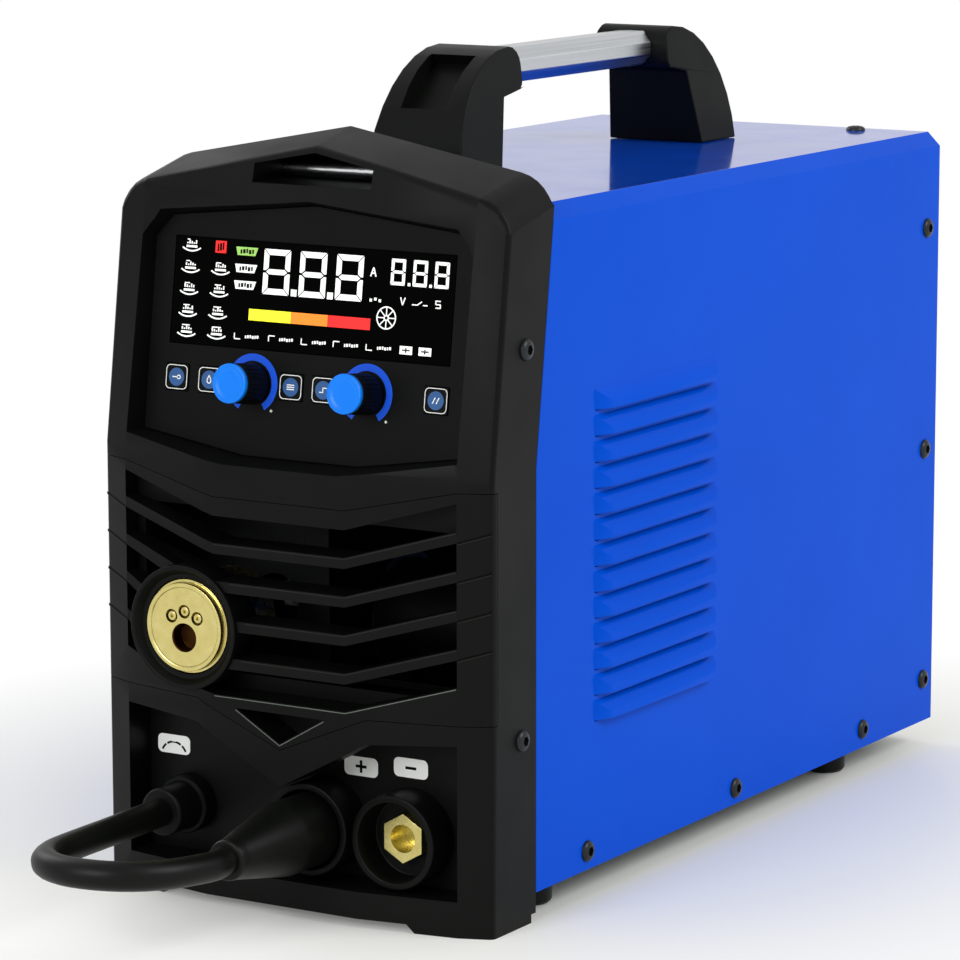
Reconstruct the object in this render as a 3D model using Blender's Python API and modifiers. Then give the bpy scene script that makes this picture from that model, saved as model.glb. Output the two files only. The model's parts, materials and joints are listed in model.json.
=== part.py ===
"""MIG welding machine: moulded front, steel case, wire feeder, carrying handle.

Metres, +Z up, front towards -Y. The origin is on the floor under the middle of the machine.
"""
import math

import bmesh
import bpy
from mathutils import Matrix, Vector

# Fits
GAP = 0.0003
RUNNING_GAP = 0.0005

# How points weld, how far cutters run past what they cut, and where shading turns sharp
WELD = 0.000005
OVERSHOOT = 0.030
SHARP = math.radians(30)

# Steel case
SEAM_Y = -0.193
CASE_WIDTH = 0.210
CASE_DEPTH = 0.4127
CASE_BOTTOM = 0.0133
SHEET = 0.0015
BEND = 0.007
LEAN = math.radians(7.8)
TRAY_FLANGE = 0.022

# Front bezel, in bands from the floor up
BEZEL_FOOT = 0.004
BEZEL_FOOT_LENGTH = 0.036
SILL_TOP = 0.0165
RECESS_HEIGHT = 0.0715
SHOULDER_DROP = 0.003
SHOULDER_X = 0.046
NOSE_DROP = 0.028
GRILLE_SILL = 0.009
GRILLE_HEIGHT = 0.1055
CHIN = 0.0065
BROW = 0.0035
ROOF_RISE = 0.0305
ROOF_PITCH = math.radians(10.7)
ROOF_CORNER = 0.020
ROOF_FALL = 0.24
ROOF_EDGE = 0.012
ROOF_BACK_LEAN = 0.08

# Front bezel, in plan
BEZEL_DEPTH = 0.037
BEZEL_WALL = 0.003
COLUMN_WIDTH = 0.0153
COLUMN_STEP = 0.006
COLUMN_LEAN = 0.162
NOSE_STEP = 0.008
NOSE_HALF = 0.041
NOSE_LEAN = 0.241
EDGE_ROUND = 0.002
RECESS_DEPTH = 0.017
FLOOR_WALL = 0.004

# Hand slot and its bar
SLOT_WIDTH = 0.064
SLOT_SILL = 0.006
SLOT_HEIGHT = 0.0086
SLOT_BAR_RADIUS = 0.0042
SLOT_WALL = 0.0018
SLOT_BAR_SOCKET = 0.004

# Grille insert
GRILLE_WRAP = 0.004
GRILLE_FRAME = 0.0089
GRILLE_GAP = 0.0126
GRILLE_SLAT = 0.005
GRILLE_GAPS = 5
GRILLE_BEND_X = 0.0355
GRILLE_DROP = 0.0115
GRILLE_TIP_DROP = 0.020
CUTOUT_HALF = 0.024
CUTOUT_HEIGHT = 0.014
CUTOUT_MARGIN = 0.003

# Control panel
PANEL_MARGIN = 0.018
PANEL_SINK = 0.0107
PANEL_SHEET = 0.0025
PANEL_PEAK = 0.114
PANEL_SHOULDER = 0.106
PANEL_CORNER = 0.096
PANEL_CORNER_IN = 0.009
PANEL_FOOT_RISE = 0.007
PANEL_FOOT_DROP = 0.0015
PANEL_FOOT_HALF = 0.031
PANEL_FLARE = 0.2
PANEL_LEDGE = 0.006
DISPLAY_MARGIN = 0.011
DISPLAY_BOTTOM = 0.047
DISPLAY_HEIGHT = 0.0495
DISPLAY_GLASS = 0.0015
BOARD_SHEET = 0.0016

# Keys and knobs on the panel
KEY_ROW = 0.0315
KEY_WIDTH = 0.0124
KEY_HEIGHT = 0.0119
KEY_PROUD = 0.0006
KEY_TRAVEL = 0.0008
KEY_STEM = 0.002
KEY_EDGE_IN = 0.0168
KEY_PITCH = 0.0182
KEY_MIDDLE_X = -0.0072
KEY_MIDDLE_PITCH = 0.0176
KNOB_LEFT_X = -0.0285
KNOB_RIGHT_X = 0.0333
KNOB_RADIUS = 0.0095
KNOB_LENGTH = 0.019
KNOB_SHAFT = 0.003
KNOB_CLEAR = 0.0008
KNOB_DRAFT = 0.0004
CAP_LENGTH = 0.0025
CAP_EDGE = 0.001

# Torch connector
EURO_IN = 0.053
EURO_RISE = 0.0316
COLLAR_RADIUS = 0.029
COLLAR_NECK = 0.025
COLLAR_RIM = 0.002
COLLAR_PROUD = 0.0035
COLLAR_SEAT = 0.010
COLLAR_DISH = 0.004
EURO_FLANGE = 0.022
EURO_FACE = 0.0195
EURO_PROUD = 0.002
EURO_BODY = 0.012
EURO_HOLE = 0.0075
EURO_HOLE_DROP = 0.0045
EURO_HOLE_DEPTH = 0.012
EURO_PIN_HOLE = 0.0026
EURO_PIN_RING = 0.0105
EURO_PIN_DROP = 0.00225
EURO_PIN_SPREAD = math.radians(35)

# Panel sockets, gland, plug and polarity cable
SOCKET_RADIUS = 0.0218
SOCKET_LENGTH = 0.014
SOCKET_RIM = 0.0033
SOCKET_DISH = 0.011
SOCKET_SHANK = 0.0135
SOCKET_TAIL = 0.012
SOCKET_EDGE_IN = 0.0119
SOCKET_LIFT = 0.0014
SOCKET_SPACE = 0.003
INSERT_FLATS = 0.020
INSERT_SHANK = 0.0098
INSERT_HEAD = 0.006
INSERT_BORE = 0.0065
INSERT_BORE_DEPTH = 0.013
GLAND_EDGE_IN = 0.0237
GLAND_NUT = 0.0145
GLAND_NUT_LENGTH = 0.009
GLAND_CAP = 0.0125
GLAND_EDGE = 0.0025
GLAND_LENGTH = 0.026
GLAND_SHANK = 0.009
CABLE_RADIUS = 0.0067
CABLE_LEAD = 0.006
CABLE_BOW = ((0.02, 0.0427, 0.0003), (0.04, 0.0697, 0.0008), (0.074, 0.0907, 0.0013), (0.192, 0.1067, 0.0023),
             (0.398, 0.1147, 0.0028), (0.623, 0.1137, 0.0028), (0.809, 0.1057, 0.0023),
             (0.935, 0.0907, 0.0013))
PLUG_NOSE = 0.017
PLUG_TAIL = 0.0092
PLUG_COLLAR = 0.0097
PLUG_COLLAR_LENGTH = 0.0055
PLUG_LENGTH = 0.073
PLUG_BARREL = 0.030
PLUG_PIN = 0.0061
PLUG_PIN_LENGTH = 0.009

# Louvres on the right side
LOUVRE_COUNT = 13
LOUVRE_PITCH = 0.0121
LOUVRE_LIFT = 0.0695
LOUVRE_START = 0.052
LOUVRE_LENGTH = 0.116
LOUVRE_BULGE = 0.005
LOUVRE_HEIGHT = 0.0096
LOUVRE_RAMP = 0.007
LOUVRE_RAMP_FRONT = 0.0112
LOUVRE_SKIN = 0.00105
LOUVRE_SECTION = ((0.0, 1.0), (0.55, 0.72), (0.9, 0.38), (1.0, 0.0))

# Handle
HANDLE_OFFSET = 0.0075
POST_REACH = 0.134
POST_INNER = 0.098
POST_HEIGHT = 0.060
POST_BASE_HALF = 0.027
POST_TOP_HALF = 0.020
POST_NOSE = 0.071
POST_NOSE_DEPTH = 0.021
POST_CURVE_CENTRE = 0.080
POST_ROUND = 0.004
POST_STEPS = 8
WINDOW_HALF = 0.0125
WINDOW_LENGTH = 0.036
WINDOW_DEPTH = 0.009
WINDOW_TURN = math.radians(52)
WINDOW_TILT = math.radians(40)
TUBE_WIDTH = 0.024
TUBE_HEIGHT = 0.017
TUBE_CHAMFER = 0.0055
TUBE_WALL = 0.002
TUBE_DROP = 0.0107
TUBE_INSERT = 0.013

# Feet
FOOT_RADIUS = 0.011
FOOT_DRAFT = 0.0006
FOOT_EDGE = 0.0016
FOOT_IN = 0.020
FOOT_FRONT = 0.028
FOOT_REAR = 0.085

# Wire door, hinge and latches
DOOR_DROP = 0.0315
HINGE_IN = 0.022
HINGE_KNUCKLE = 0.003
HINGE_PIN = 0.0015
HINGE_LEAF = 0.0012
HINGE_LEAF_WIDTH = 0.016
HINGE_LEAF_SET = 0.0039
HINGE_ARM = 0.0045
HINGE_LENGTH = 0.200
HINGE_LIFT = 0.045
LATCH_SET = 0.018
LATCH_LOW = 0.060
LATCH_HIGH = 0.215
LATCH_HEAD = 0.0085
LATCH_STUD = 0.004
LATCH_DISC = 0.002
LATCH_EDGE = 0.001
LATCH_WING = 0.0035
LATCH_WING_HALF = 0.0068
LATCH_WING_SHEET = 0.004

# Front frame and divider
FRAME_SHEET = 0.0012
FRAME_SET = 0.024
FRAME_FORWARD = 0.014
FRAME_RIM = 0.022
FRAME_LEAD_RIM = 0.011
WIRE_BAY = 0.0815
DIVIDER_TOP_DROP = 0.020
DIVIDER_FOOT = 0.016

# Wire spool
SPOOL_REAR_IN = 0.122
SPOOL_RISE = 0.152
SPOOL_RADIUS = 0.100
SPOOL_WIDTH = 0.055
SPOOL_FLANGE = 0.004
SPOOL_CORE = 0.050
SPOOL_WALL = 0.003
SPOOL_BORE = 0.026
SPOOL_SIDE_GAP = 0.006
WINDING_RADIUS = 0.088
HUB_FLANGE = 0.036
HUB_STUD = 0.008
NUT_RADIUS = 0.031
NUT_LENGTH = 0.009
NUT_CROWN = 0.017
NUT_RIM = 0.0045

# Wire feeder
FEED_PLATE = 0.008
FEED_STAND = 0.0065
FEED_FRONT = 0.040
FEED_LENGTH = 0.108
FEED_BELOW = 0.042
FEED_ABOVE = 0.044
FEED_FOOT_IN = 0.0216
FEED_FOOT_UP = 0.0129
GUIDE_LENGTH = 0.020
GUIDE_HALF = 0.006
GUIDE_BORE = 0.002
ROLL_SET = 0.054
ROLL_RADIUS = 0.016
ROLL_WIDTH = 0.012
ROLL_NIP = 0.0012
ROLL_EDGE = 0.001
ROLL_CHAMFER = 0.0018
ROLL_GROOVE = 0.0009
SHAFT_RADIUS = 0.004
IDLER_RADIUS = 0.014
ARM_SHEET = 0.005
ARM_HALF = 0.007
ARM_NOSE_TOP = 0.014
ARM_NOSE_LOW = 0.0028
PIVOT_SET = 0.092
TENSION_KNOB = 0.009
TENSION_LENGTH = 0.024
TENSION_SET = 0.022
TENSION_EDGE = 0.0014
TENSION_SEAT = 0.0063
TENSION_SEAT_DROP = 0.0077
MOTOR_RADIUS = 0.028
MOTOR_LENGTH = 0.068
MOTOR_EDGE = 0.0028

# Rear panel fittings
FAN_SIDE = 0.0075
FAN_DEPTH = 0.025
FAN_Z = 0.190
FAN_WALL = 0.004
FAN_HUB = 0.020
FAN_STRUT = 0.003
FAN_STRUT_WIDTH = 0.008
FAN_TIP_GAP = 0.003
FAN_BLADES = 7
BLADE_CHORD = 0.024
BLADE_SHEET = 0.002
BLADE_PITCH = math.radians(38)
GUARD_PROUD = 0.006
GUARD_BAR = 0.0025
GUARD_RINGS = 4
FITTINGS_IN = 0.045
SWITCH_Z = 0.272
SWITCH_WIDTH = 0.030
SWITCH_HEIGHT = 0.036
SWITCH_FLANGE = 0.003
SWITCH_DEPTH = 0.024
SWITCH_WALL = 0.004
ROCKER_PROUD = 0.005
ROCKER_DISH = 0.0018
ROCKER_SHOULDER = 0.006
ROCKER_SHOULDER_IN = 0.0025
ROCKER_KEEL = 0.012
ROCKER_KEEL_HALF = 0.0044
ROCKER_TILT = math.radians(9)
MAINS_Z = 0.222
MAINS_NUT = 0.016
MAINS_NUT_LENGTH = 0.0112
MAINS_CAP = 0.0136
MAINS_MOUTH = 0.0084
MAINS_TAPER = 0.0056
MAINS_LENGTH = 0.028
MAINS_TAIL = 0.0112
MAINS_BORE = 0.0062
MAINS_SHANK = 0.011
GAS_Z = 0.058
GAS_HEX = 0.009
GAS_HEX_LENGTH = 0.0091
GAS_LENGTH = 0.026
GAS_TAIL = 0.013
GAS_BARB = 0.0048
GAS_NECK = 0.0038
GAS_RIDGE = 0.0052
GAS_RIDGE_STEP = 0.0005
GAS_RIDGES = 2
GAS_BORE = 0.0025

# Power electronics
SINK_SIDE = 0.0155
SINK_CLEAR = 0.0175
SINK_HEIGHT = 0.062
SINK_FRONT = 0.150
SINK_LENGTH = 0.190
SINK_BASE = 0.008
SINK_FIN = 0.003
SINK_FINS = 8
INVERTER_OVERHANG = 0.006
CORE_SIDE = 0.0055
CORE_WIDTH = 0.042
CORE_HEIGHT = 0.056
CORE_FRONT = 0.060
CORE_LENGTH = 0.060
COIL_LENGTH = 0.030
COIL_PROUD = 0.006

# Levels and faces worked out from the sizes above
HALF = CASE_WIDTH / 2
INNER = HALF - COLUMN_WIDTH
TRAY_HALF = HALF - SHEET - GAP
RECESS_TOP = SILL_TOP + RECESS_HEIGHT
GRILLE_BOTTOM = RECESS_TOP + GRILLE_SILL
GRILLE_TOP = GRILLE_BOTTOM + GRILLE_HEIGHT
LEAN_START = GRILLE_TOP + CHIN
CASE_TOP = LEAN_START + PANEL_PEAK * math.cos(LEAN) + BROW
ROOF_PEAK = CASE_TOP + ROOF_RISE
TRAY_TOP = CASE_BOTTOM + SHEET
DOOR_TOP = CASE_TOP - DOOR_DROP
COLUMN_Y = SEAM_Y - BEZEL_DEPTH - COLUMN_STEP
NOSE_Y = COLUMN_Y - NOSE_STEP
RECESS_Y = COLUMN_Y + RECESS_DEPTH
POCKET_Y = RECESS_Y + FLOOR_WALL
GRILLE_SEAT_Y = SEAM_Y - BEZEL_DEPTH + GRILLE_WRAP
PANEL_Y = COLUMN_Y + PANEL_SINK
PANEL_HALF = HALF - PANEL_MARGIN
REAR_Y = SEAM_Y + CASE_DEPTH
REAR_INNER_Y = REAR_Y - SHEET - GAP
DISPLAY_HALF = PANEL_HALF - DISPLAY_MARGIN
SLOT_FLOOR = CASE_TOP + SLOT_SILL
EURO_X = EURO_IN - HALF
EURO_Z = GRILLE_BOTTOM + EURO_RISE
SOCKET_Z = SILL_TOP + SOCKET_RADIUS + SOCKET_LIFT
SOCKET_MINUS_X = INNER - SOCKET_EDGE_IN - SOCKET_RADIUS
SOCKET_PLUS_X = SOCKET_MINUS_X - 2 * SOCKET_RADIUS - SOCKET_SPACE
GLAND_X = GLAND_EDGE_IN - INNER
HINGE_X = -HALF - HINGE_KNUCKLE - GAP
HINGE_Y = REAR_Y - HINGE_IN
DIVIDER_X = WIRE_BAY - HALF
POWER_BAY = HALF - SHEET - DIVIDER_X
FAN_SIZE = POWER_BAY - 2 * FAN_SIDE
FAN_X = DIVIDER_X + POWER_BAY / 2
FITTINGS_X = FITTINGS_IN - HALF
SINK_X = DIVIDER_X + DIVIDER_FOOT + SINK_CLEAR
SINK_WIDTH = HALF - SHEET - SINK_SIDE - SINK_X
CORE_X = HALF - SHEET - CORE_SIDE - CORE_WIDTH
SPOOL_Y = REAR_Y - SPOOL_REAR_IN
SPOOL_Z = TRAY_TOP + SPOOL_RISE
DIVIDER_LEFT = DIVIDER_X - SHEET
FRAME_HALF = TRAY_HALF - SHEET - GAP - FRAME_SHEET
DOOR_LIP = HALF - FRAME_HALF - FRAME_SHEET - GAP
POCKET_SHOULDER = CASE_TOP - ROOF_CORNER - BEND
HANDLE_Y = SEAM_Y + CASE_DEPTH / 2 - HANDLE_OFFSET
TUBE_Z = CASE_TOP + POST_HEIGHT - TUBE_DROP

# Finishes: colour, roughness, metallic
BLUE_PAINT = ((18, 74, 205), 0.32, 0.0)
BLACK_MOULDING = ((30, 33, 31), 0.55, 0.0)
BLACK_PANEL = ((16, 18, 16), 0.50, 0.0)
BLACK_GLASS = ((4, 5, 4), 0.12, 0.0)
BLACK_RUBBER = ((24, 25, 23), 0.60, 0.0)
BLUE_PLASTIC = ((8, 105, 225), 0.35, 0.0)
BRASS = ((200, 178, 96), 0.30, 1.0)
ALUMINIUM = ((190, 192, 194), 0.32, 1.0)
GALVANISED = ((165, 168, 170), 0.45, 1.0)
COPPER_WIRE = ((186, 116, 74), 0.30, 1.0)
GREEN_BOARD = ((22, 92, 52), 0.45, 0.0)
GREY_PLASTIC = ((70, 72, 74), 0.50, 0.0)
RED_PLASTIC = ((196, 30, 28), 0.35, 0.0)

FRONT_VIEW = Matrix.Rotation(math.radians(90), 4, "X")
SIDE_VIEW = Matrix(((0, 0, 1, 0), (1, 0, 0, 0), (0, 1, 0, 0), (0, 0, 0, 1)))
FORWARD_AXIS = Matrix.Rotation(math.radians(90), 4, "X")
BACKWARD_AXIS = Matrix.Rotation(math.radians(-90), 4, "X")
LEFT_AXIS = Matrix.Rotation(math.radians(-90), 4, "Y")
RIGHT_AXIS = Matrix.Rotation(math.radians(90), 4, "Y")


def clear_scene():
    for old in list(bpy.data.objects):
        bpy.data.objects.remove(old, do_unlink=True)


def new_collection(name):
    collection = bpy.data.collections.new(name)
    bpy.context.scene.collection.children.link(collection)
    return collection


clear_scene()
PARTS = new_collection("mig_welding_machine")
CUTTERS = new_collection("cutters")


def linear(channel):
    value = channel / 255
    return value / 12.92 if value <= 0.04045 else ((value + 0.055) / 1.055) ** 2.4


def finish(obj, look):
    """Give a piece its own material."""
    colour, roughness, metallic = look
    material = bpy.data.materials.new(obj.name)
    material.use_nodes = True
    shader = material.node_tree.nodes["Principled BSDF"]
    shader.inputs["Base Color"].default_value = (*[linear(c) for c in colour], 1)
    shader.inputs["Roughness"].default_value = roughness
    shader.inputs["Metallic"].default_value = metallic
    material.diffuse_color = (*[linear(c) for c in colour], 1)
    obj.data.materials.clear()
    obj.data.materials.append(material)
    obj.data.shade_smooth()
    obj.data.set_sharp_from_angle(angle=SHARP)
    return obj


def at(x, y, z):
    return Matrix.Translation((x, y, z))


def place(obj, matrix, parent=None):
    obj.parent = parent
    obj.matrix_local = matrix
    bpy.context.view_layer.update()
    return obj


def add_object(name, data, matrix=Matrix(), parent=None):
    obj = bpy.data.objects.new(name, data)
    PARTS.objects.link(obj)
    return place(obj, matrix, parent)


def mesh_from(name, bm, matrix=Matrix(), parent=None):
    bmesh.ops.recalc_face_normals(bm, faces=bm.faces)
    mesh = bpy.data.meshes.new(name)
    bm.to_mesh(mesh)
    bm.free()
    return add_object(name, mesh, matrix, parent)


def settle(obj):
    """Turn a curve, or a mesh with modifiers, into a plain welded mesh under the same name."""
    graph = bpy.context.evaluated_depsgraph_get()
    mesh = bpy.data.meshes.new_from_object(obj.evaluated_get(graph))
    bm = bmesh.new()
    bm.from_mesh(mesh)
    bmesh.ops.remove_doubles(bm, verts=bm.verts, dist=WELD)
    bmesh.ops.dissolve_degenerate(bm, edges=bm.edges, dist=WELD / 5)
    bmesh.ops.recalc_face_normals(bm, faces=bm.faces)
    bm.to_mesh(mesh)
    bm.free()
    name = obj.name
    matrix = obj.matrix_local.copy()
    parent = obj.parent
    bpy.data.objects.remove(obj, do_unlink=True)
    mesh.name = name
    return add_object(name, mesh, matrix, parent)


def box(name, low, high, parent=None):
    """A block between two corners."""
    bpy.ops.mesh.primitive_cube_add(size=1)
    obj = bpy.context.object
    for collection in obj.users_collection:
        collection.objects.unlink(obj)
    PARTS.objects.link(obj)
    obj.name = name
    size = [b - a for a, b in zip(low, high)]
    middle = [(a + b) / 2 for a, b in zip(low, high)]
    obj.data.transform(Matrix.Diagonal((*size, 1)))
    return place(obj, at(*middle), parent)


def plate(name, outlines, thickness, matrix, parent=None):
    """A flat outline, with any holes, given a thickness either side of its plane."""
    curve = bpy.data.curves.new(name, "CURVE")
    curve.dimensions = "2D"
    curve.fill_mode = "BOTH"
    curve.extrude = thickness / 2
    for outline in outlines:
        spline = curve.splines.new("POLY")
        spline.points.add(len(outline) - 1)
        for point, (u, v) in zip(spline.points, outline):
            point.co = (u, v, 0, 1)
        spline.use_cyclic_u = True
    return settle(add_object(name, curve, matrix, parent))


def front_plate(name, outline, y_low, y_high, parent=None):
    """An outline drawn in X and Z, reaching from one Y to another."""
    middle = at(0, (y_low + y_high) / 2, 0) @ FRONT_VIEW
    return plate(name, [outline], y_high - y_low, middle, parent)


def side_plate(name, outline, x_low, x_high):
    """An outline drawn in Y and Z, reaching from one X to another."""
    middle = at((x_low + x_high) / 2, 0, 0) @ SIDE_VIEW
    return plate(name, [outline], x_high - x_low, middle)


def turned(name, profile, steps, matrix, parent=None, closed=True):
    """A profile of radius and height turned about the local Z axis."""
    mesh = bpy.data.meshes.new(name)
    points = [(radius, 0, height) for radius, height in profile]
    edges = [(i, i + 1) for i in range(len(points) - 1)]
    if closed:
        edges.append((len(points) - 1, 0))
    mesh.from_pydata(points, edges, [])
    obj = add_object(name, mesh, matrix, parent)
    screw = obj.modifiers.new("Turn", "SCREW")
    screw.steps = steps
    screw.render_steps = steps
    screw.use_merge_vertices = True
    screw.merge_threshold = 2 * WELD
    return settle(obj)


def rod(name, radius, start, end, sides, matrix, parent=None):
    """A round bar along the local Z axis."""
    profile = [(0, end), (radius, end), (radius, start), (0, start)]
    return turned(name, profile, sides, matrix, parent, closed=False)


def loft(name, rings, matrix=Matrix(), parent=None):
    """A closed skin over rings of equal point count."""
    bm = bmesh.new()
    rows = [[bm.verts.new(point) for point in ring] for ring in rings]
    for lower, upper in zip(rows, rows[1:]):
        for i in range(len(lower)):
            j = (i + 1) % len(lower)
            bm.faces.new((lower[i], lower[j], upper[j], upper[i]))
    bm.faces.new(rows[0])
    bm.faces.new(rows[-1])
    return mesh_from(name, bm, matrix, parent)


def sheet_run(name, rows, thickness):
    """Bent sheet: rows of points skinned into an open surface, thickened to its left."""
    bm = bmesh.new()
    lines = [[bm.verts.new(point) for point in row] for row in rows]
    for first, second in zip(lines, lines[1:]):
        for i in range(len(first) - 1):
            bm.faces.new((first[i], first[i + 1], second[i + 1], second[i]))
    mesh = bpy.data.meshes.new(name)
    bm.to_mesh(mesh)
    bm.free()
    obj = add_object(name, mesh)
    solid = obj.modifiers.new("Sheet", "SOLIDIFY")
    solid.thickness = thickness
    solid.offset = -1
    solid.use_even_offset = True
    return settle(obj)


def tool(obj):
    """Set a piece aside as a hidden cutter."""
    PARTS.objects.unlink(obj)
    CUTTERS.objects.link(obj)
    obj.hide_render = True
    obj.display_type = "WIRE"
    return obj


def combine(target, other, operation):
    boolean = target.modifiers.new(other.name, "BOOLEAN")
    boolean.operation = operation
    boolean.solver = "EXACT"
    boolean.object = tool(other)
    return target


def cut(target, *others):
    for other in others:
        combine(target, other, "DIFFERENCE")
    return target


def fuse(target, *others):
    for other in others:
        combine(target, other, "UNION")
    return target


def round_edges(obj, width, segments, angle):
    bevel = obj.modifiers.new("Round", "BEVEL")
    bevel.width = width
    bevel.segments = segments
    bevel.limit_method = "ANGLE"
    bevel.angle_limit = math.radians(angle)
    return obj


def lean_shift(z):
    """How far back the leaning upper front stands at a height."""
    return max(0.0, z - LEAN_START) * math.tan(LEAN)


def mirrored(points):
    """An outline's right half, run on through its left half."""
    return points + [(-u, v) for u, v in reversed(points) if abs(u) > WELD]


def arc(centre, radius, start, end, steps):
    u, v = centre
    angles = [math.radians(start + (end - start) * i / steps) for i in range(steps + 1)]
    return [(u + radius * math.cos(a), v + radius * math.sin(a)) for a in angles]


def hexagon(flats):
    return arc((0, 0), flats / math.sqrt(3), 90, 390, 5)


# Front bezel
def bezel_back(z):
    """The back of the bezel follows the case edge, then leans forward above the case."""
    return SEAM_Y + lean_shift(min(z, CASE_TOP)) - ROOF_BACK_LEAN * max(0.0, z - CASE_TOP)


def bezel_ring(z):
    rise = max(0.0, z - LEAN_START)
    back = bezel_back(z)
    side = SEAM_Y - BEZEL_DEPTH + lean_shift(z)
    column = COLUMN_Y + rise * COLUMN_LEAN
    nose = NOSE_Y + rise * NOSE_LEAN
    half = [(HALF, back), (HALF, side), (INNER, column), (NOSE_HALF, nose)]
    return [(x, y, z) for x, y in mirrored(half)]


def roof_outline():
    """Front view of the bezel: straight sides, round shoulders, a low gable."""
    reach = HALF + RUNNING_GAP
    shoulder_x = reach - ROOF_CORNER + ROOF_CORNER * math.sin(ROOF_PITCH)
    shoulder_z = ROOF_PEAK - shoulder_x * math.tan(ROOF_PITCH)
    centre = (reach - ROOF_CORNER, shoulder_z - ROOF_CORNER * math.cos(ROOF_PITCH))
    corner = arc(centre, ROOF_CORNER, 0, 90 - math.degrees(ROOF_PITCH), 6)
    return mirrored([(reach, -ROOF_PEAK)] + corner + [(0, ROOF_PEAK)])


def bezel_blank():
    """The outer form of the front before anything is cut out of it."""
    top = ROOF_PEAK + ROOF_CORNER
    blank = loft("bezel_blank", [bezel_ring(z) for z in (0, LEAN_START, CASE_TOP, top)])
    roof = front_plate("bezel_roof", roof_outline(), NOSE_Y - OVERSHOOT, SEAM_Y + 2 * OVERSHOOT)
    roof.data.transform(roof.matrix_world)
    place(roof, Matrix())
    edge = SEAM_Y + ROOF_EDGE
    shear = Matrix(((1, 0, 0, 0), (0, 1, 0, 0), (0, ROOF_FALL, 1, -ROOF_FALL * edge), (0, 0, 0, 1)))
    roof.data.transform(shear)
    combine(blank, roof, "INTERSECT")
    blank = settle(blank)
    bm = bmesh.new()
    bm.from_mesh(blank.data)
    soft = [e for e in bm.edges if e.calc_face_angle(0) > math.radians(25) and not on_seam(e)]
    bmesh.ops.bevel(bm, geom=soft, offset=EDGE_ROUND, segments=2, profile=0.5, affect="EDGES")
    bm.to_mesh(blank.data)
    bm.free()
    return blank


def on_seam(edge):
    """True for edges of the flat back of the bezel and of its underside."""
    def back(vert):
        return vert.co.y > bezel_back(vert.co.z) - GAP and vert.co.z < CASE_TOP + GAP

    return all(back(v) for v in edge.verts) or all(v.co.z < GAP for v in edge.verts)


def recess_outline():
    half = [(INNER, SILL_TOP), (INNER, RECESS_TOP), (SHOULDER_X, RECESS_TOP - SHOULDER_DROP),
            (0, RECESS_TOP - NOSE_DROP)]
    return mirrored(half)


def grille_outline(margin):
    """The insert's edge; a positive margin draws it in."""
    reach = HALF + 2 * GRILLE_WRAP
    slope = GRILLE_DROP / (INNER - GRILLE_BEND_X)
    top = GRILLE_TOP - margin
    low = GRILLE_BOTTOM + margin
    tip_low = GRILLE_BOTTOM - GRILLE_TIP_DROP + margin
    half = [(0, tip_low), (SHOULDER_X, low - slope * GRILLE_WRAP), (reach, low + slope * GRILLE_WRAP / 2),
            (reach, top), (INNER, top), (GRILLE_BEND_X, top - GRILLE_DROP)]
    return mirrored(half)


def grille_band(top, height):
    """A band across the grille that is level in the middle and rises at both sides."""
    half = [(INNER, top - height), (INNER, top),
            (GRILLE_BEND_X, top - GRILLE_DROP), (GRILLE_BEND_X, top - GRILLE_DROP - height)]
    return half[:3] + [(-u, v) for u, v in reversed(half[:3])] + [(-half[3][0], half[3][1]), half[3]]


def panel_outline(margin):
    """The control panel's edge in its own plane; a positive margin draws it out."""
    side = PANEL_HALF + margin
    half = [(PANEL_FOOT_HALF, -PANEL_FOOT_DROP - margin), (side, PANEL_FOOT_RISE - margin),
            (side, PANEL_CORNER), (PANEL_HALF - PANEL_CORNER_IN + margin, PANEL_SHOULDER + margin),
            (0, PANEL_PEAK + margin)]
    return mirrored(half)


def pocket_ring(z, half):
    front = POCKET_Y + lean_shift(z)
    back = SEAM_Y + 2 * OVERSHOOT
    return [(half, back, z), (half, front, z), (-half, front, z), (-half, back, z)]


def slot_peak():
    return SLOT_FLOOR + SLOT_HEIGHT + SLOT_WIDTH / 2 * math.tan(ROOF_PITCH)


def slot_outline():
    half_width = SLOT_WIDTH / 2
    return mirrored([(half_width, SLOT_FLOOR), (half_width, SLOT_FLOOR + SLOT_HEIGHT), (0, slot_peak())])


def slot_back_y():
    return bezel_back(slot_peak()) - SLOT_WALL


def hole(name, radius, x, z, y_front, y_back, sides=24):
    """A round cutter along Y."""
    return rod(name, radius, 0, y_back - y_front, sides, at(x, y_front, z) @ BACKWARD_AXIS)


def panel_frame():
    """An empty in the plane of the control panel: X across, Z up the slope, -Y out of the face."""
    frame = bpy.data.objects.new("panel_frame", None)
    PARTS.objects.link(frame)
    frame.matrix_world = at(0, PANEL_Y, LEAN_START) @ Matrix.Rotation(-LEAN, 4, "X")
    bpy.context.view_layer.update()
    return frame


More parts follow.
